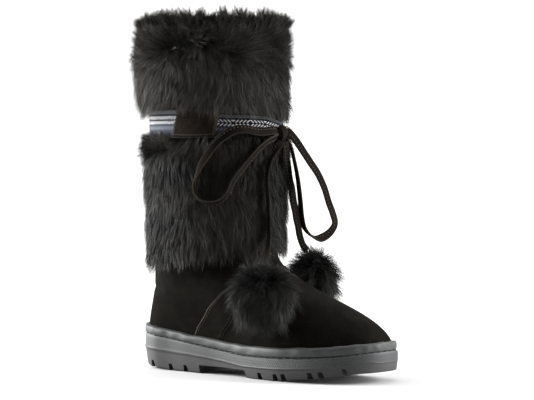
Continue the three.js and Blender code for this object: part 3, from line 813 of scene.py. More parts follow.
def make_knot():
    """Knot of the lace: a rounded core of folded strands under a flat wrap that goes once round it."""
    middle = np.array(KNOT["middle"])
    half = np.array(KNOT["half"])
    core, turn, lift = ball_points(32, np.linspace(-np.pi / 2, np.pi / 2, 17)[1:-1])
    fold = 1 - 0.12 * np.abs(np.sin(1.5 * turn + 0.6)) ** 3 - 0.06 * np.cos(4 * lift)
    core = core * fold[..., None] * half
    rows, count = core.shape[:2]
    points = np.concatenate([core.reshape(-1, 3), [[0, 0, -half[2]], [0, 0, half[2]]]]) + middle
    step = np.arange(count)
    after = (step + 1) % count
    last = (rows - 1) * count
    low = np.stack([np.full(count, rows * count), after, step], -1)
    high = np.stack([np.full(count, rows * count + 1), last + step, last + after], -1)
    knot = make_mesh("lace_knot", points, grid_faces(rows, count), np.concatenate([low, high]))
    set_values(knot, "cut", np.zeros(len(points)))
    piece = make_piece(knot, LACE_SUEDE, node="lace_knot")
    around = ring_angles(40)
    ring = np.stack([half[0] * 1.12 * np.cos(around), 0 * around, half[2] * 0.92 * np.sin(around)], -1)
    slope = unit(np.roll(ring, -1, 0) - np.roll(ring, 1, 0))
    out = np.cross(np.array([0, 1.0, 0]), slope)
    section = ring_angles(12)
    wide = KNOT["wrap_half"] * signed_power(np.cos(section), 0.6)
    wrap = ring[:, None] + np.sin(section)[None, :, None] * out[:, None]
    wrap = wrap + np.stack([0 * wide, wide, KNOT["wrap_slant"] * wide], -1)[None]
    rows, count = wrap.shape[:2]
    band = make_mesh("lace_knot_wrap", wrap.reshape(-1, 3) + middle, grid_faces(rows, count, 1))
    set_values(band, "cut", np.tile(smooth(0.8, 1.0, np.abs(wide) / KNOT["wrap_half"]) * 0.6, rows))
    return piece, make_piece(band, LACE_SUEDE)


HAIR_ROWS = 3
HAIR_TAPER = np.array([0.85, 0.9])
# Hairs of a lock, how wide they start, how far they draw together, their width, and how far single tips stray
BAND_LOCKS = {"hairs": 10, "spread": 3.2, "pinch": 0.25, "width": 0.30, "stray": 1.7}
RIM_LOCKS = {"hairs": 10, "spread": 2.6, "pinch": 0.85, "width": 0.30, "stray": 1.1}
POMPOM_LOCKS = {"hairs": 16, "spread": 2.8, "pinch": 0.2, "width": 0.28, "stray": 2.0}


def make_fur(name, material, rng, locks, roots, out, comb, length, lean, curl, tone):
    """Fur as joined meshes: each lock is an arc that leaves its root at a lean from the outward direction and
    bends to a curl along the comb direction. Hairs start round the lock's root, draw together by the pinch
    towards its tip, differ in length, and each is a strip that narrows to a point. A tone below 0
    dims them."""
    part = np.linspace(0, 1, HAIR_ROWS)
    between = (part[1:] + part[:-1]) / 2
    angle = blend(lean[:, None], curl[:, None], between[None])
    way = np.cos(angle)[..., None] * out[:, None] + np.sin(angle)[..., None] * comb[:, None]
    steps = way * (length / (HAIR_ROWS - 1))[:, None, None]
    arc = np.concatenate([np.zeros((len(roots), 1, 3)), np.cumsum(steps, 1)], 1)
    aside = unit(np.cross(out, comb))
    shape = (len(roots), locks["hairs"])
    far = locks["spread"] * np.sqrt(rng.random(shape))
    turn = rng.uniform(0, 2 * np.pi, shape)
    start = (far * np.cos(turn))[..., None] * comb[:, None] + (far * np.sin(turn))[..., None] * aside[:, None]
    reach = rng.uniform(0.55, 1.08, shape)
    drift = locks["stray"] * np.clip(rng.normal(0, 1, (*shape, 1, 3)), -1.8, 1.8)
    hairs = roots[:, None, None] + start[:, :, None] * (1 - locks["pinch"] * part)[None, None, :, None]
    hairs = hairs + reach[..., None, None] * arc[:, None] + drift * (part**1.5)[None, None, :, None]
    hairs = hairs.reshape(-1, HAIR_ROWS, 3)
    count = len(hairs)
    ahead = unit(np.gradient(hairs, axis=1))
    facing = np.repeat(out, locks["hairs"], 0)[:, None]
    flank = unit(np.cross(ahead, facing))
    roll = rng.uniform(-1.1, 1.1, count)[:, None, None]
    flank = np.cos(roll) * flank + np.sin(roll) * np.cross(ahead, flank)
    half = locks["width"] / 2 * rng.uniform(0.7, 1.2, count)[:, None, None] * HAIR_TAPER[None, :, None]
    left = hairs[:, :-1] - half * flank[:, :-1]
    right = hairs[:, :-1] + half * flank[:, :-1]
    body = np.stack([left, right], 2).reshape(count, -1, 3)
    points = np.concatenate([body, hairs[:, -1:]], 1)
    size = points.shape[1]
    base = (np.arange(count) * size)[:, None]
    step = 2 * np.arange(HAIR_ROWS - 2)
    strip = np.stack([step, step + 1, step + 3, step + 2], -1)
    quads = (base[:, :, None] + strip[None]).reshape(-1, 4)
    tips = base + np.array([size - 3, size - 2, size - 1])[None]
    mesh = make_mesh(name, points.reshape(-1, 3), quads, tips)
    run = np.append(np.repeat(part[:-1], 2), 1.0)
    vary = np.exp(rng.normal(0, 0.25, (len(roots), 1)) + rng.normal(0, 0.5, shape))
    tone = np.reshape(tone, (-1, 1)) + np.zeros((len(roots), 1))
    dim = np.clip(1 + tone, 0.25, 1)
    tone = np.clip(np.maximum(tone, 0.01) * vary, 0, 1)
    set_values(mesh, "along", np.repeat(dim.reshape(-1), locks["hairs"])[:, None] * run[None] ** 0.8)
    set_values(mesh, "shade", np.repeat(tone.reshape(-1), size))
    return make_piece(mesh, material)


def make_pompom(name, middle, lean, reach, tone, seed):
    """Pompom: locks that stand out all round a small core and droop, flatter towards the boot and away from
    it, and darker above."""
    rng = np.random.default_rng(seed)
    locks = POMPOM["locks"]
    index = np.arange(locks) + 0.5
    high = 1 - 2 * index / locks
    turn = index * math.pi * (3 - math.sqrt(5))
    level_part = np.sqrt(1 - high**2)
    way = np.stack([level_part * np.cos(turn), level_part * np.sin(turn), high], -1)
    tilt = math.radians(lean)
    press = np.array([math.cos(tilt), math.sin(tilt), 0])
    flatness = 1 - POMPOM["flat"] / POMPOM["radius"]
    squash = 1 - flatness * np.abs(way @ press)
    middle = np.array(middle)
    root = POMPOM["root"] * POMPOM["radius"]
    roots = middle + way * (root * squash)[:, None]
    swirl = wander_over(turn, 3 * high, ((2, 1), (3, -2), (1, 3)), rng)
    lump = wander_over(turn, 5 * high, ((3, 2), (4, -3), (2, 5), (5, 1)), rng)
    down = np.array([0, 0, -1.0])
    comb = down - (way @ down)[:, None] * way
    tousle = blend(0.9, 0.3, smooth(0.3, 0.9, level_part))[:, None]
    comb = unit(comb + 0.4 * swirl[:, None] * np.cross(way, down) + tousle * rng.normal(0, 1, (locks, 3)))
    comb = square_to(comb, way)
    hangs = 1 - 0.75 * smooth(0.2, 1.0, way @ down)
    length = (reach - root) * squash * blend(1.2, 1.8, level_part) * (1 + 0.12 * lump)
    length = length * (1 - 0.32 * np.abs(way @ press)) * (1 - 0.2 * smooth(0.6, 1.0, high))
    length = length * rng.uniform(0.8, 1.15, locks)
    lean = hangs * blend(0.2, 0.95, smooth(0.3, 1.1, level_part)) * rng.uniform(0.6, 1.15, locks)
    curl = hangs * blend(1.0, 1.6, level_part) * rng.uniform(0.8, 1.1, locks)
    tone = tone * blend(1.3, 0.3, smooth(-0.3, 0.6, high))
    hair = make_fur(name, POMPOM_HAIR, rng, POMPOM_LOCKS, roots, way, comb, length, lean, curl, tone)
    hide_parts(name)
    ball, _, _ = ball_points(24, np.linspace(-1.45, 1.45, 13))
    rows, count = ball.shape[:2]
    size = POMPOM["core"] * POMPOM["radius"] * (1 - flatness * np.abs(ball @ press))
    points = (middle + ball * size[..., None]).reshape(-1, 3)
    core = make_mesh(name + "_core", points, grid_faces(rows, count), end_faces(rows, count))
    return hair, make_piece(core, UNDERCOAT)


laces = {name: make_lace(name) for name in LACES}
knot = make_knot()
pompoms = {name: make_pompom(name, **look) for name, look in POMPOMS.items()}


# Sole

SOLE_STEPS = 520


def layer_points(profile, low, high, rows, cut=1.0):
    """Rings of a layer of the sole from the bottom of its side profile to its top, with the profile's insets
    scaled by a cut."""
    angle = ring_angles(SOLE_STEPS)
    insets = [along(profile, "inset", part) * cut + np.zeros(SOLE_STEPS) for part in np.linspace(0, 1, rows)]
    return np.stack([sole_ring(angle, inset, low, high, k / (rows - 1)) for k, inset in enumerate(insets)])


def sole_share():
    """Share of the length at each step round the sole."""
    return share_at(outline(ring_angles(SOLE_STEPS))[:, 0])


def cut_out(piece, cutter):
    """Takes the cutter's solid out of a piece for good."""
    modifier = piece.modifiers.new("cut", "BOOLEAN")
    modifier.operation = "DIFFERENCE"
    modifier.solver = "EXACT"
    modifier.object = cutter
    bpy.context.view_layer.update()
    cut = bpy.data.meshes.new_from_object(piece.evaluated_get(bpy.context.evaluated_depsgraph_get()))
    piece.modifiers.clear()
    piece.data = cut
    bpy.data.objects.remove(cutter)


def cross_prisms(outlines):
    """Solids across the sole for cutting: each is an outline in Y and Z with its back and front X at each
    corner."""
    points = []
    groups = []
    first = 0
    for corners, back, front in outlines:
        corners = np.asarray(corners, float)
        count = len(corners)
        points += [np.column_stack([back, corners]), np.column_stack([front, corners])]
        step = np.arange(count)
        after = (step + 1) % count
        groups.append(first + np.stack([step, after, count + after, count + step], -1))
        groups.append(first + np.stack([step[::-1], count + step]))
        first += 2 * count
    mesh = make_mesh("sole_cutter", np.concatenate(points), *groups)
    cutter = bpy.data.objects.new("sole_cutter", mesh)
    bpy.context.scene.collection.objects.link(cutter)
    return cutter


def make_outsole():
    """Outsole: a slab with a bead round its top edge, cut by the arch and by grooves between the lugs that
    are deep at the edge and shallow across the tread."""
    rings = layer_points(OUTSOLE_PROFILE, "tread", "bead", 26, along(EDGES, "outsole_cut", sole_share()))
    mesh = make_mesh("outsole", rings.reshape(-1, 3), *closed_faces(len(rings), SOLE_STEPS))
    piece = make_piece(mesh, SOLE_RUBBER, node="outsole")
    aside = LENGTH / 4
    below = -NOTCH["rise"]
    arch = [(aside, below), (aside, ARCH["heel_rise"]), (-aside, ARCH["heel_rise"]), (-aside, below)]
    slope = (ARCH["front_bottom"] - ARCH["front_top"]) / (ARCH["front_rise"] - below)
    front = [ARCH["front_bottom"], ARCH["front_top"] - slope * (ARCH["heel_rise"] - ARCH["front_rise"])]
    outlines = [(arch, np.full(4, ARCH["heel"]), np.array([front[0], front[1], front[1], front[0]]))]
    for start, width in zip(NOTCHES["start"], NOTCHES["width"]):
        share = share_at(start)
        angle = math.acos(1 - 2 * share)
        tread = float(along(LEVELS, "tread", np.array(share)))
        high = tread + NOTCH["rise"]
        middle = tread + NOTCH["groove"]
        outer = outline(np.array(angle))[1] + NOTCH["reach"]
        inner = outline(np.array(-angle))[1] - NOTCH["reach"]
        corners = np.array([
            (aside, below), (aside, high), (inner, high), (inner, middle),
            (outer, middle), (outer, high), (-aside, high), (-aside, below)])
        flare = NOTCH["flare"] * (high - corners[:, 1]) / NOTCH["rise"]
        outlines.append((corners, np.full(8, float(start)), start + width + flare))
    cut_out(piece, cross_prisms(outlines))
    piece.data.shade_smooth()
    piece.data.set_sharp_from_angle(angle=math.radians(35))


def make_midsole():
    """Midsole: a strip between bead and stitch groove, with a map in millimetres round and up its side."""
    rings = layer_points(MIDSOLE_PROFILE, "bead", "groove", 9, along(EDGES, "outsole_cut", sole_share()))
    rows = len(rings)
    sides, *caps = closed_faces(rows, SOLE_STEPS)
    mesh = make_mesh("midsole", rings.reshape(-1, 3), sides, *caps)
    ring = rings[rows // 2]
    run = run_length(np.concatenate([ring, ring[:1]]))
    row, column = grid_corners(rows, SOLE_STEPS)
    side_uv = np.stack([run[column], rings[row % rows, column % SOLE_STEPS, 2]], -1).reshape(-1, 2)
    cap_corners = sum(group.size for group in caps)
    set_uv(mesh, np.concatenate([side_uv, np.zeros((cap_corners, 2))]))
    make_piece(mesh, MIDSOLE_RUBBER, node="midsole", crease=40)


def make_welt():
    """Welt: a puffy strip with soft puckers along it, leaning on the upper, and its row of dark stitches."""
    rng = np.random.default_rng(5)
    angle = ring_angles(SOLE_STEPS)
    pucker = WELT["pucker"] * wander(angle, (17, 23, 29, 37, 46), rng)
    ripple = WELT["ripple"] * wander(angle, (9, 14, 21, 33), rng)
    share = sole_share()
    drawn_in = along(EDGES, "welt", share)
    cut = along(EDGES, "welt_cut", share)
    rings = []
    for part in np.linspace(0, 1, WELT["rows"]):
        inset = drawn_in + along(WELT_PROFILE, "inset", part) * cut + pucker * math.sin(math.pi * part)
        rings.append(sole_ring(angle, inset, "groove", "welt", part, lift=ripple * part))
    for part in (1.0, 0.5, 0.0):
        height = blend(level("groove", share), level("welt", share) - LAYER_GAP, part) + ripple * part
        rings.append(foot_ring(angle, height, -WELT["overlap"]))
    rings = np.stack(rings)
    mesh = make_mesh("welt", rings.reshape(-1, 3), grid_faces(len(rings), SOLE_STEPS, 1))
    make_piece(mesh, WELT_RUBBER, node="welt", crease=50)
    inset = np.maximum(WELT_SEAM["inset"], drawn_in + WELT_SEAM["behind"])
    groove = sole_ring(angle, inset, "groove", "welt", 0.0, lift=-WELT_SEAM["drop"])
    line = even_points(np.concatenate([groove, groove[:1]]), WELT_SEAM["step"])[:-1]
    ahead = unit(np.roll(line, -1, 0) - np.roll(line, 1, 0))
    out = unit(np.cross(ahead, np.array([0, 0, 1.0])))
    ahead = unit(ahead + np.array([0, 0, WELT_SEAM["lean"]]))
    sew("welt_stitches", WELT_THREAD, [(line, ahead, out)], **WELT_STITCH)


make_outsole()
make_midsole()
make_welt()


# Upper, lining and insole

UPPER_STEPS = 220
FOOT_ROWS = 60
SHAFT_ROWS = 10
INSOLE_STEPS = 160
# Section of a side strip from its back edge to its front edge and back underneath: part of the way, and rise
STRIP_ACROSS = np.array([0.0, 0.006, 0.016, 0.2, 0.4, 0.6, 0.8, 0.984, 0.994, 1.0, 1.0, 0.5, 0.0])
STRIP_RISE = STRIP_THICK * np.array([0.3, 0.85, 1.0, 1.05, 1.1, 1.1, 1.05, 1.0, 0.85, 0.3, -0.2, -0.2, -0.2])


def make_upper():
    """Upper: the outside with its creases, thickened inwards by the wall along its own normals."""
    angle = ring_angles(UPPER_STEPS)[None]
    t = np.concatenate([np.linspace(0, 1, FOOT_ROWS), 1 + np.arange(1, SHAFT_ROWS + 1) / SHAFT_ROWS])[:, None]
    outside, out = over_upper(angle, t, 0.0)
    level_out = out.copy()
    level_out[[0, -1], :, 2] = 0
    inside = outside - WALL * unit(level_out)
    points = np.concatenate([outside, inside[::-1]])
    mesh = make_mesh("upper", points.reshape(-1, 3), grid_faces(len(points), UPPER_STEPS, 1))
    make_piece(mesh, UPPER_SUEDE, node="upper", crease=50)


def make_strip(name, side):
    """Side strip: a flat band over the suede, with cut edges and a stitch row inside each."""
    t = np.linspace(*STRIP_ENDS, STRIP_ROWS)
    back = np.radians(along(STRIP, "back", t))
    front = np.radians(along(STRIP, "front", t))
    angle = side * blend(back[:, None], front[:, None], STRIP_ACROSS[None])
    points, _ = over_upper(angle, t[:, None], STRIP_RISE)
    rows, count = points.shape[:2]
    faces = grid_faces(rows, count)
    ends = end_faces(rows, count)
    if side < 0:
        faces = faces[:, ::-1]
        ends = ends[:, ::-1]
    mesh = make_mesh(name, points.reshape(-1, 3), faces, ends)
    is_back = np.isin(np.arange(count), (0, 1))
    is_front = np.isin(np.arange(count), (8, 9))
    set_values(mesh, "cut", np.tile(1.0 * is_back + 0.3 * is_front, rows))
    make_piece(mesh, STRIP_SUEDE, crease=50)
    seams = []
    for edge_part in STRIP_SEAMS["parts"]:
        line, out = over_upper(side * blend(back, front, edge_part), t, 1.05 * STRIP_THICK)
        line = even_points(line, STRIP_SEAMS["step"])
        fine = np.linspace(0, 1, len(line))
        rough = np.linspace(0, 1, len(out))
        out = np.stack([np.interp(fine, rough, out[:, axis]) for axis in range(3)], -1)
        seams.append((line, np.gradient(line, axis=0), unit(out)))
    sew(name + "_stitches", STRIP_THREAD, seams, **STRIP_STITCH)


def make_lining():
    """Lining: fleece inside the upper from the insole to the collar, rolled over the collar's edge."""
    angle = ring_angles(LINING["steps"])[None]
    t = np.concatenate([np.linspace(LINING["from"], 1, 28), 1 + np.arange(1, 9) / 8])[:, None]
    out = upper_out(angle, t)
    base = upper_point(angle, t)
    pile_side = base - (WALL + LINING["pile"]) * out
    back_side = base - (WALL + LINING["back"]) * out
    roll = np.array([(2.2, 0.8), (1.2, 1.5), (-0.8, 1.7), (-2.2, 1.2), (-2.9, 0.2)])
    rim = [base[-1] - (WALL + depth) * out[-1] + np.array([0, 0, high]) for depth, high in roll]
    points = np.concatenate([back_side, np.stack(rim[::-1]), pile_side[::-1]])
    mesh = make_mesh("lining", points.reshape(-1, 3), grid_faces(len(points), LINING["steps"], 1))
    make_piece(mesh, FLEECE)


def make_insole():
    """Insole: a fleece pad on the midsole, crowned a little, with a rounded edge inside the upper's wall."""
    angle = ring_angles(INSOLE_STEPS)
    base = level("groove", share_at(outline(angle)[:, 0]))
    profile = ((0.0, 0.0), (1.5, 0.1), (3.2, 0.5), (4.4, 1.4), (5.0, 3.0), (5.2, 6.0))
    rings = [foot_ring(angle, base + rise, WALL + GAP + clear) for rise, clear in profile]
    mesh = make_mesh("insole", np.concatenate(rings), *closed_faces(len(rings), INSOLE_STEPS))
    make_piece(mesh, FLEECE, node="insole")


make_upper()
make_strip("side_strip_outer", 1)
make_strip("side_strip_inner", -1)
make_lining()
make_insole()


# Ribbon and tab

CHART_COLOURS = {"navy": "#0f121a", "white": "#c8c8ca", "grey": "#333844", "pale": "#6c6f76"}
CHART_ROWS = 36
CHART_REPEAT = 45
CHART_START = 32
STITCH_WIDE = 0.7
STITCH_HIGH = 0.72
# Stitch rows of the tab: parts of the way to its front, and parts of the way up
TAB_SEAMS = ((0.04, 0.96, 0.10, 0.10), (0.95, 0.95, 0.10, 0.95), (0.05, 0.05, 0.10, 0.95))


def ribbon_chart(row, column):
    """Chart of the ribbon, from its top row down: small pale rings on navy, two rows of slanting white
    strokes that mirror about a navy line and lean away from a cross with two small triangles once a
    repeat, then grey with a row of pale dots. Gives a colour's place."""
    turn = (column - CHART_START) % CHART_REPEAT
    ring_at = np.abs(turn % 5 - 2)
    is_ring = ((row == 1) | (row == 4)) & (ring_at <= 1)
    is_ring |= ((row == 2) | (row == 3)) & (ring_at == 2)
    from_cross = np.minimum(turn, CHART_REPEAT - turn)
    fold = np.where(row < 13, 12 - row, row - 13)
    is_band = (row >= 8) & (row <= 17) & (fold > 0)
    is_slant = is_band & (from_cross > fold + 1) & ((from_cross - fold - 2) % 5 < 2)
    is_slant |= is_band & (from_cross < fold - 1)
    is_dot = (row >= 21) & (row <= 24) & ((turn + 2 * (row // 23)) % 5 < 2)
    is_grey = row >= 19
    return np.select([is_slant, is_ring | is_dot, is_grey], [1, 3, 2], 0)


def ribbon_front(angle):
    """Share by which the ribbon is drawn together: 1 over its front, 0 at its back."""
    turn = np.degrees(angle)
    return smooth(95, 140, turn) * (1 - smooth(225, 270, turn))


def ribbon_drop(angle):
    """How far the ribbon is pulled down: a little all over its front, and more near the knot."""
    dip = RIBBON["dip"] * bell(np.degrees(angle), RIBBON["dip_at"], RIBBON["dip_reach"])
    return dip + RIBBON["fall"] * ribbon_front(angle)


def make_ribbon():
    """Ribbon: a thin band round the shaft whose quads are the stitches of its chart."""
    outer = RIBBON["inner"] + RIBBON["thick"]
    middle = (RIBBON["low"] + RIBBON["high"]) / 2
    fine = np.linspace(0, 2 * np.pi, 2001)
    run = run_length(shaft_point(fine, middle + 0 * fine, outer))
    repeats = int(round(run[-1] / (CHART_REPEAT * STITCH_WIDE)))
    columns = repeats * CHART_REPEAT
    angle = np.interp(np.arange(columns) / columns * run[-1], run, fine)
    high = np.linspace(RIBBON["low"], RIBBON["high"], CHART_ROWS + 1)[:, None]
    crown = 0.25 * np.sin(np.linspace(0, np.pi, CHART_ROWS + 1))[:, None]
    drop = ribbon_drop(angle)[None]
    outside = shaft_point(angle[None], high + 0 * drop, outer + crown)
    inside = shaft_point(angle[None], high[[-1, 0]] + 0 * drop, RIBBON["inner"])
    points = np.concatenate([outside, inside])
    points[..., 2] -= drop + RIBBON["pinch"] * ribbon_front(angle) * (points[..., 2] - middle)
    rows = len(points)
    mesh = make_mesh("ribbon", points.reshape(-1, 3), grid_faces(rows, columns, 1))
    row, column = grid_corners(rows, columns, 1)
    chart = ribbon_chart(CHART_ROWS - 1 - np.clip(row[:, 0], 0, CHART_ROWS - 1), column[:, 0])
    tones = np.array([colour(code) for code in CHART_COLOURS.values()])[chart]
    # Painted shade: the colours are darker over the front, and away from it they are dimmed and faded a
    # little towards each other for the shade of the overhanging fur
    painted_shade_front = ribbon_front(angle)[column[:, 0] % columns]
    tones[:, :3] = blend(0.02 + 0.85 * tones[:, :3], 0.66 * tones[:, :3], painted_shade_front[:, None])
    layer = mesh.color_attributes.new("chart", "FLOAT_COLOR", "CORNER")
    layer.data.foreach_set("color", np.repeat(tones, 4, 0).astype(np.float32).ravel())
    uv = np.stack([column * STITCH_WIDE, np.clip(row, 0, CHART_ROWS) * STITCH_HIGH], -1)
    set_uv(mesh, uv.reshape(-1, 2))
    piece = make_piece(mesh, RIBBON_WEAVE, node="ribbon", crease=50)


def tab_point(part, up, rise):
    """Point of the tab part of the way from its back to its front and from its foot to its top, at a rise: it
    bows outwards, is cut aslant and its foot sags."""
    angle = np.radians(blend(TAB["from"], TAB["to"], part) + TAB["slant"] * (up - 0.5))
    height = blend(TAB["low"], TAB["high"], up) - TAB["sag"] * np.sin(np.pi * part) * (1 - up)
    bow = TAB["bow"] * np.sin(np.pi * part) * np.sin(np.pi * up)
    return shaft_point(angle, height, TAB["clear"] + rise + bow)


def make_tab():
    """Tab: a suede patch over the ribbon with paler edges, and stitches along its foot, front and back."""
    part = np.concatenate([[0, 0.012], np.linspace(0.05, 0.95, 24), [0.988, 1]])
    rise = np.concatenate([[0.15, 0.85], np.ones(24), [0.85, 0.15], np.zeros(28)])
    part = np.concatenate([part, part[::-1]])
    up = np.array([0, 0, 0.03, 0.1, 0.3, 0.5, 0.7, 0.9, 0.97, 1, 1])
    thick = np.array([0.2, 0.85, 1, 1, 1.05, 1.1, 1.05, 1, 1, 0.85, 0.2])
    points = tab_point(part[None], up[:, None], TAB["thick"] * rise[None] * thick[:, None])
    rows, count = points.shape[:2]
    mesh = make_mesh("tab", points.reshape(-1, 3), grid_faces(rows, count), end_faces(rows, count))
    is_edge = np.isin(np.arange(count), (0, 1, 26, 27, 28, 55)).astype(float)[None]
    is_rim = np.isin(np.arange(rows), (0, 1, 9, 10)).astype(float)[:, None]
    set_values(mesh, "cut", np.maximum(is_edge, is_rim) * 0.35)
    make_piece(mesh, TAB_SUEDE, node="tab", crease=50)
    share = np.linspace(0, 1, 60)
    rise = TAB["thick"] + TAB["stitch_lift"]
    seams = []
    for back, front, low, high in TAB_SEAMS:
        line = tab_point(blend(back, front, share), blend(low, high, share), rise)
        line = even_points(line, TAB["stitch_step"])
        out = unit((line - SHAFT_MIDDLE) * np.array([1, 1, 0]))
        seams.append((line, np.gradient(line, axis=0), out))
    sew("tab_stitches", SEAM_THREAD, seams, **TAB_STITCH)


make_ribbon()
make_tab()


# Fur bands

PELT_STEPS = 120
# Shares by which places step on over a square so that they spread evenly
STEP_ACROSS = 0.7548776662
STEP_UP = 0.5698402910


def spread_over(count, rng):
    """Even places on a square of side 1: steps by two irrational shares, jittered a little."""
    index = np.arange(count)
    across = (index * STEP_ACROSS + rng.normal(0, 0.002, count)) % 1
    up = np.clip((index * STEP_UP) % 1 + rng.normal(0, 0.004, count), 0, 1)
    return across, up


def comb_over(angle, height, down, aside):
    """Direction in which the fur lies, from its parts down the shaft and round it towards the toe."""
    reach = 0.01
    around = unit(shaft_point(angle + reach, height, 0.0) - shaft_point(angle - reach, height, 0.0))
    return unit(down[:, None] * np.array([0, 0, -1.0]) + aside[:, None] * around)


def make_pelt(name, node, hem, top, depth):
    """Pelt under the fur: a dark ring round the shaft, rounded at its hem and its top."""
    angle = ring_angles(PELT_STEPS)[None]
    part = np.linspace(0, 1, 24)[:, None]
    high = blend(hem(angle), top + 0 * angle, part)
    waves = ((5, 3), (9, -4), (14, 6), (21, -8))
    lumps = 0.5 * wander_over(angle, 9 * part, waves, np.random.default_rng(3))
    rounded = np.sin(np.pi * np.clip(part, 0.08, 0.92)) ** 0.3
    outside = shaft_point(angle, high, depth(angle) * rounded + lumps)
    inside = shaft_point(angle, high[[-1, 0]], 0.5)
    points = np.concatenate([outside, inside])
    mesh = make_mesh(name, points.reshape(-1, 3), grid_faces(len(points), PELT_STEPS, 1))
    make_piece(mesh, UNDERCOAT, node=node)


def shaft_hem(angle):
    """Height of the lower band's hem, higher at the instep than at the back."""
    middle = (FUR_SHAFT["back_hem"] + FUR_SHAFT["front_hem"]) / 2
    return middle - (FUR_SHAFT["front_hem"] - FUR_SHAFT["back_hem"]) / 2 * np.cos(angle)


def make_shaft_fur(name, from_up, to_up, locks, seed):
    """Fur of the lower band between two shares of its height: it hangs, slanting towards the front near the
    hem, lies in flat and raised patches, rounds over the top edge from the ribbon outwards, and is brushed
    up flat there at the outer back."""
    rng = np.random.default_rng(seed)
    across, up = spread_over(locks, rng)
    angle = 2 * np.pi * across
    up = blend(from_up, to_up, up)
    turn = np.degrees(angle)
    under_tab = smooth(TAB["from"] - 5, TAB["from"], turn) * (1 - smooth(TAB["to"], TAB["to"] + 5, turn))
    at_side = bell(turn, 70, 34)
    start = shaft_hem(angle) + 5 + 8 * bell(turn, 35, 22)
    height = blend(start, FUR_SHAFT["top"] + 9 - 5 * under_tab - 6 * bell(turn, 28, 24) - 5 * at_side, up)
    field = np.random.default_rng(17)
    raised = wander_over(angle, 7 * up, ((3, 2), (5, -3), (8, 4), (2, 5)), field)
    slant = wander_over(angle, 5 * up, ((2, 1), (4, -2), (7, 3)), field)
    edge = smooth(0.82, 1.0, up) * (1 - 0.85 * under_tab)
    brushed = at_side * smooth(0.84, 0.90, up) * (1 - 0.7 * under_tab)
    aside = 0.22 * (1 - up) + 0.25 * slant + rng.normal(0, 0.14, locks)
    # Painted light and shade: the fur is paler where it faces the front and darker at the outer back and the
    # inner front, where the side lamps fall; the raised patches vary it a little
    tone = 0.11 - 0.10 * np.cos(2 * np.radians(turn - OUTER_BACK)) + 0.02 * raised
    # The folds paint the fur darker in its troughs and beside the knot, as painted shade, and paler on a
    # tuft, as painted light
    for at, high, reach, span, flatter, paler in FOLDS:
        share = bell(turn, at, reach) * bell(height, high, span)
        raised = raised + flatter / 7 * share
        tone = tone + paler * share
    lean = np.radians(FUR_SHAFT["lean"] + 7 * raised - edge * rng.uniform(30, 130, locks))
    lean = lean + rng.normal(0, 0.10, locks)
    curl = np.radians(FUR_SHAFT["curl"] + 3 * raised - edge * rng.uniform(5, 80, locks))
    curl = curl + rng.normal(0, 0.12, locks)
    length = (FUR_SHAFT["length"] + 1.8 * raised - 6.5 * edge) * rng.uniform(0.85, 1.15, locks)
    lean = blend(lean, np.radians(-62) + rng.normal(0, 0.2, locks), brushed)
    curl = blend(curl, np.radians(-84) + rng.normal(0, 0.2, locks), brushed)
    length = length * (1 - 0.4 * brushed)
    comb = comb_over(angle, height, np.ones(locks), aside)
    roots = shaft_point(angle, height, FUR_SHAFT["root"])
    out = shaft_out(angle, height)
    make_fur(name, COLLAR_HAIR, rng, BAND_LOCKS, roots, out, comb, length, lean, curl, tone)


def collar_hem(angle):
    """Height of the collar's hem, which hangs lower beside the knot and a little lower at the outer back."""
    turn = np.degrees(angle)
    beside_knot = bell(turn, FUR_COLLAR["drop_at"], FUR_COLLAR["drop_reach"])
    return FUR_COLLAR["hem"] - FUR_COLLAR["drop"] * beside_knot - 3.0 * bell(turn, 30, 36)


def rim_tufts(angle):
    """Uneven tufts along the collar's edge: a smooth curve round it, mostly between -1.5 and 1.5."""
    return wander(angle, (11, 17, 23, 31), np.random.default_rng(31))


def rim_crown(angle):
    """Share by which the collar's edge stands higher: 1 on the tab's side, falling to 0 round the corners."""
    return smooth(-0.1, 0.85, np.cos(angle - np.radians(TAB_SIDE)))


def to_back(angle):
    """Share by which the collar's fur stands out more: 1 at the outer back, -1 at the inner front."""
    return np.cos(angle - np.radians(OUTER_BACK))


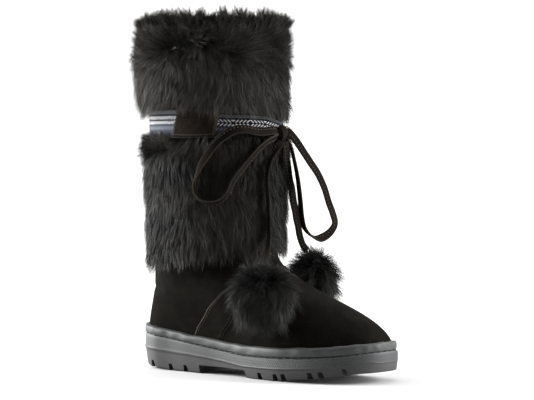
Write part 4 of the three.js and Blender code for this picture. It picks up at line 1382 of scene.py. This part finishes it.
def make_collar_fur(name, low, high, locks, seed):
    """Fur of the collar between two shares of its height: it hangs below a wavering parting and stands up and
    out above it, tousled to either side where it turns over, and is painted darker where it parts, for the
    shade down in the parting."""
    rng = np.random.default_rng(seed)
    across, up = spread_over(locks, rng)
    angle = 2 * np.pi * across
    up = blend(low, high, up)
    height = blend(collar_hem(angle) + 8, FUR_COLLAR["top"] - 17, up)
    field = np.random.default_rng(29)
    raised = wander_over(angle, 6 * up, ((3, 2), (5, -3), (8, 4), (2, 5)), field)
    slant = wander_over(angle, 4 * up, ((2, 1), (3, -2), (6, 3), (9, -7), (14, 8)), field)
    parting = 0.74 + 0.10 * wander(angle, (3, 5, 8, 13), field)
    star_at = np.radians(STAR["at"])
    sway = np.tanh(1.8 * np.sin(angle - star_at)) + 0.35 * wander(angle, (2, 4, 7), field)
    above = up - parting + rng.normal(0, 0.06, locks)
    stands = smooth(-0.22, 0.22, above)
    near = bell(above, 0, 0.16)
    down = blend(1.0, -1.0, stands) + rng.normal(0, 0.15, locks)
    swept = blend(0.12, 0.85, near) * sway * smooth(-0.45, 0.0, above)
    aside = 0.36 * slant + swept + rng.normal(0, 0.2, locks)
    from_star = (angle - star_at) * STAR["radius"]
    over_star = height - STAR["height"]
    far = np.maximum(np.hypot(from_star, over_star), 1.0)
    in_star = STAR["share"] * bell(far, 0, STAR["reach"])
    down = blend(down, -over_star / far, in_star)
    aside = blend(aside, from_star / far, in_star)
    laid = np.hypot(down, aside)
    tilt = np.clip(laid, 0.68, 1.0)
    lean = np.radians(tilt * blend(*FUR_COLLAR["lean"], stands) + 6 * raised - 8 * to_back(angle))
    lean = lean + rng.normal(0, 0.10, locks)
    curl = np.radians(tilt * blend(*FUR_COLLAR["curl"], stands)) + rng.normal(0, 0.14, locks)
    length = blend(*FUR_COLLAR["length"], stands) * (1 + 0.1 * near) * (1 + 0.08 * raised)
    length = length * rng.uniform(0.75, 1.2, locks)
    at_top = smooth(0.75, 1.0, up)
    length = length * (1 + at_top * (0.3 * rim_tufts(angle) + 0.25 * rim_crown(angle) - 0.15))
    # Painted light and shade: paler on the tab's side, which faces the front, and darker round the inner
    # front where the right lamp falls
    tone = 0.42 + 0.12 * rim_crown(angle) - 0.46 * bell(np.degrees(angle), 215, 52) + 0.04 * raised
    # Painted shade: darker where the hair stands out and parts, for the shade down in the parting
    tone = tone - 0.7 * bell(laid, 0, 0.6)
    aside = aside + 0.9 * at_top * wander(angle, (19, 29, 37, 53), field)
    splay = at_top * (1.0 - 0.6 * rim_crown(angle))
    lean = lean - splay * rng.uniform(0.0, 0.6, locks)
    curl = curl - splay * rng.uniform(-0.1, 0.7, locks)
    comb = comb_over(angle, height, down, aside)
    depth = (2.8 + 2.0 * to_back(angle)) * (1 - 0.7 * at_top)
    depth = depth - 3.0 * np.maximum(to_back(angle), 0) * (1 - smooth(0.0, 0.35, up))
    roots = shaft_point(angle, height, depth)
    out = shaft_out(angle, height)
    make_fur(name, COLLAR_HAIR, rng, BAND_LOCKS, roots, out, comb, length, lean, curl, tone)


def make_rim_fur(name, locks, seed):
    """Fur along the collar's edge: it grows up and outwards on the rounded rim."""
    rng = np.random.default_rng(seed)
    across, over = spread_over(locks, rng)
    angle = 2 * np.pi * across
    tip = blend(RIM["from"], RIM["to"], over)
    depth = RIM["out"] + RIM["radius"] * np.cos(tip)
    height = FUR_COLLAR["top"] - RIM["below"] + RIM["radius"] * np.sin(tip)
    roots = shaft_point(angle, height, depth)
    flat = shaft_out(angle, height)
    out = unit(np.cos(tip)[:, None] * flat + np.sin(tip)[:, None] * np.array([0, 0, 1.0]))
    around = unit(np.cross(np.array([0, 0, 1.0]), flat))
    field = np.random.default_rng(31)
    fan = -np.sin(angle - np.radians(TAB_SIDE)) + 0.8 * wander(angle, (7, 12, 18, 25), field)
    comb = unit(0.35 * flat + 0.8 * fan[:, None] * around + rng.normal(0, 0.5, (locks, 3)))
    comb = square_to(comb, out)
    length = (10.0 + 4.5 * rim_crown(angle) + 3.2 * rim_tufts(angle)) * rng.uniform(0.55, 1.4, locks)
    length = np.maximum(length, 5.0)
    lean = rng.uniform(0.0, 0.35, locks)
    curl = rng.uniform(0.3, 0.95, locks)
    make_fur(name, COLLAR_HAIR, rng, RIM_LOCKS, roots, out, comb, length, lean, curl, 0.45)


make_pelt(
    "fur_shaft_pelt", "fur_shaft", lambda angle: shaft_hem(angle) + 9, FUR_SHAFT["top"] - 1.5,
    lambda angle: 3.6 + 0 * angle)
make_pelt(
    "fur_collar_pelt", "fur_collar", lambda angle: collar_hem(angle) + 6, FUR_COLLAR["top"] - 9,
    lambda angle: 2.2 + 1.4 * to_back(angle))
make_shaft_fur("fur_shaft_lower", 0.0, 0.5, 4200, 41)
make_shaft_fur("fur_shaft_upper", 0.5, 1.0, 4300, 42)
make_collar_fur("fur_collar_lower", 0.0, 0.52, 4200, 43)
make_collar_fur("fur_collar_upper", 0.52, 1.0, 4300, 44)
make_rim_fur("fur_collar_rim", 2700, 45)


# Floor, light and look

FLOOR_REACH = 0.75
FLOOR_SIDES = 96


def make_floor():
    """Round sheet of pale paper under the boot."""
    turn = ring_angles(FLOOR_SIDES)
    rim = np.stack([FLOOR_REACH * np.cos(turn), FLOOR_REACH * np.sin(turn), 0 * turn], -1)
    mesh = bpy.data.meshes.new("floor")
    mesh.from_pydata(rim.tolist(), [], [tuple(range(FLOOR_SIDES))])
    mesh.materials.append(FLOOR_PAPER)
    floor = bpy.data.objects.new("floor", mesh)
    bpy.context.scene.collection.objects.link(floor)


def make_light(name, turn, high, away, size, power):
    """Soft box that looks at the boot's middle from a side, with its height and distance in metres."""
    data = bpy.data.lights.new(name, "AREA")
    data.shape = "SQUARE"
    data.size = size
    data.energy = power
    light = bpy.data.objects.new(name, data)
    angle = math.radians(turn)
    light.location = (away * math.sin(angle), -away * math.cos(angle), high)
    aim = Vector((0, 0, 0.15)) - light.location
    light.rotation_mode = "QUATERNION"
    light.rotation_quaternion = aim.to_track_quat("-Z", "Y")
    bpy.context.scene.collection.objects.link(light)


def make_studio():
    """White surroundings that darken behind the camera, with a soft box to the left, one to the right and one
    above."""
    world = bpy.data.worlds.new("studio")
    world.use_nodes = True
    tree = world.node_tree
    turn = math.radians(CAMERA["turn"])
    way = add_node(tree, "TexCoord").outputs["Generated"]
    facing = add_node(tree, "VectorMath", {
        0: way, 1: (math.sin(turn), -math.cos(turn), 0)}, operation="DOT_PRODUCT")
    power = add_node(tree, "MapRange", {
        "Value": facing.outputs["Value"], "From Min": 0.0, "From Max": 0.75, "To Min": 1.5, "To Max": 0.13})
    set_inputs(tree, tree.nodes["Background"], {"Color": colour("#ffffff"), "Strength": power.outputs[0]})
    bpy.context.scene.world = world
    bpy.context.scene.view_settings.view_transform = "Standard"
    make_light("soft_box_left", -72, 0.6, 1.6, 1.1, 120)
    make_light("soft_box_right", 122, 0.6, 1.6, 1.1, 80)
    make_light("soft_box_top", 218, 2.0, 0.3, 1.4, 14)


make_floor()
make_studio()
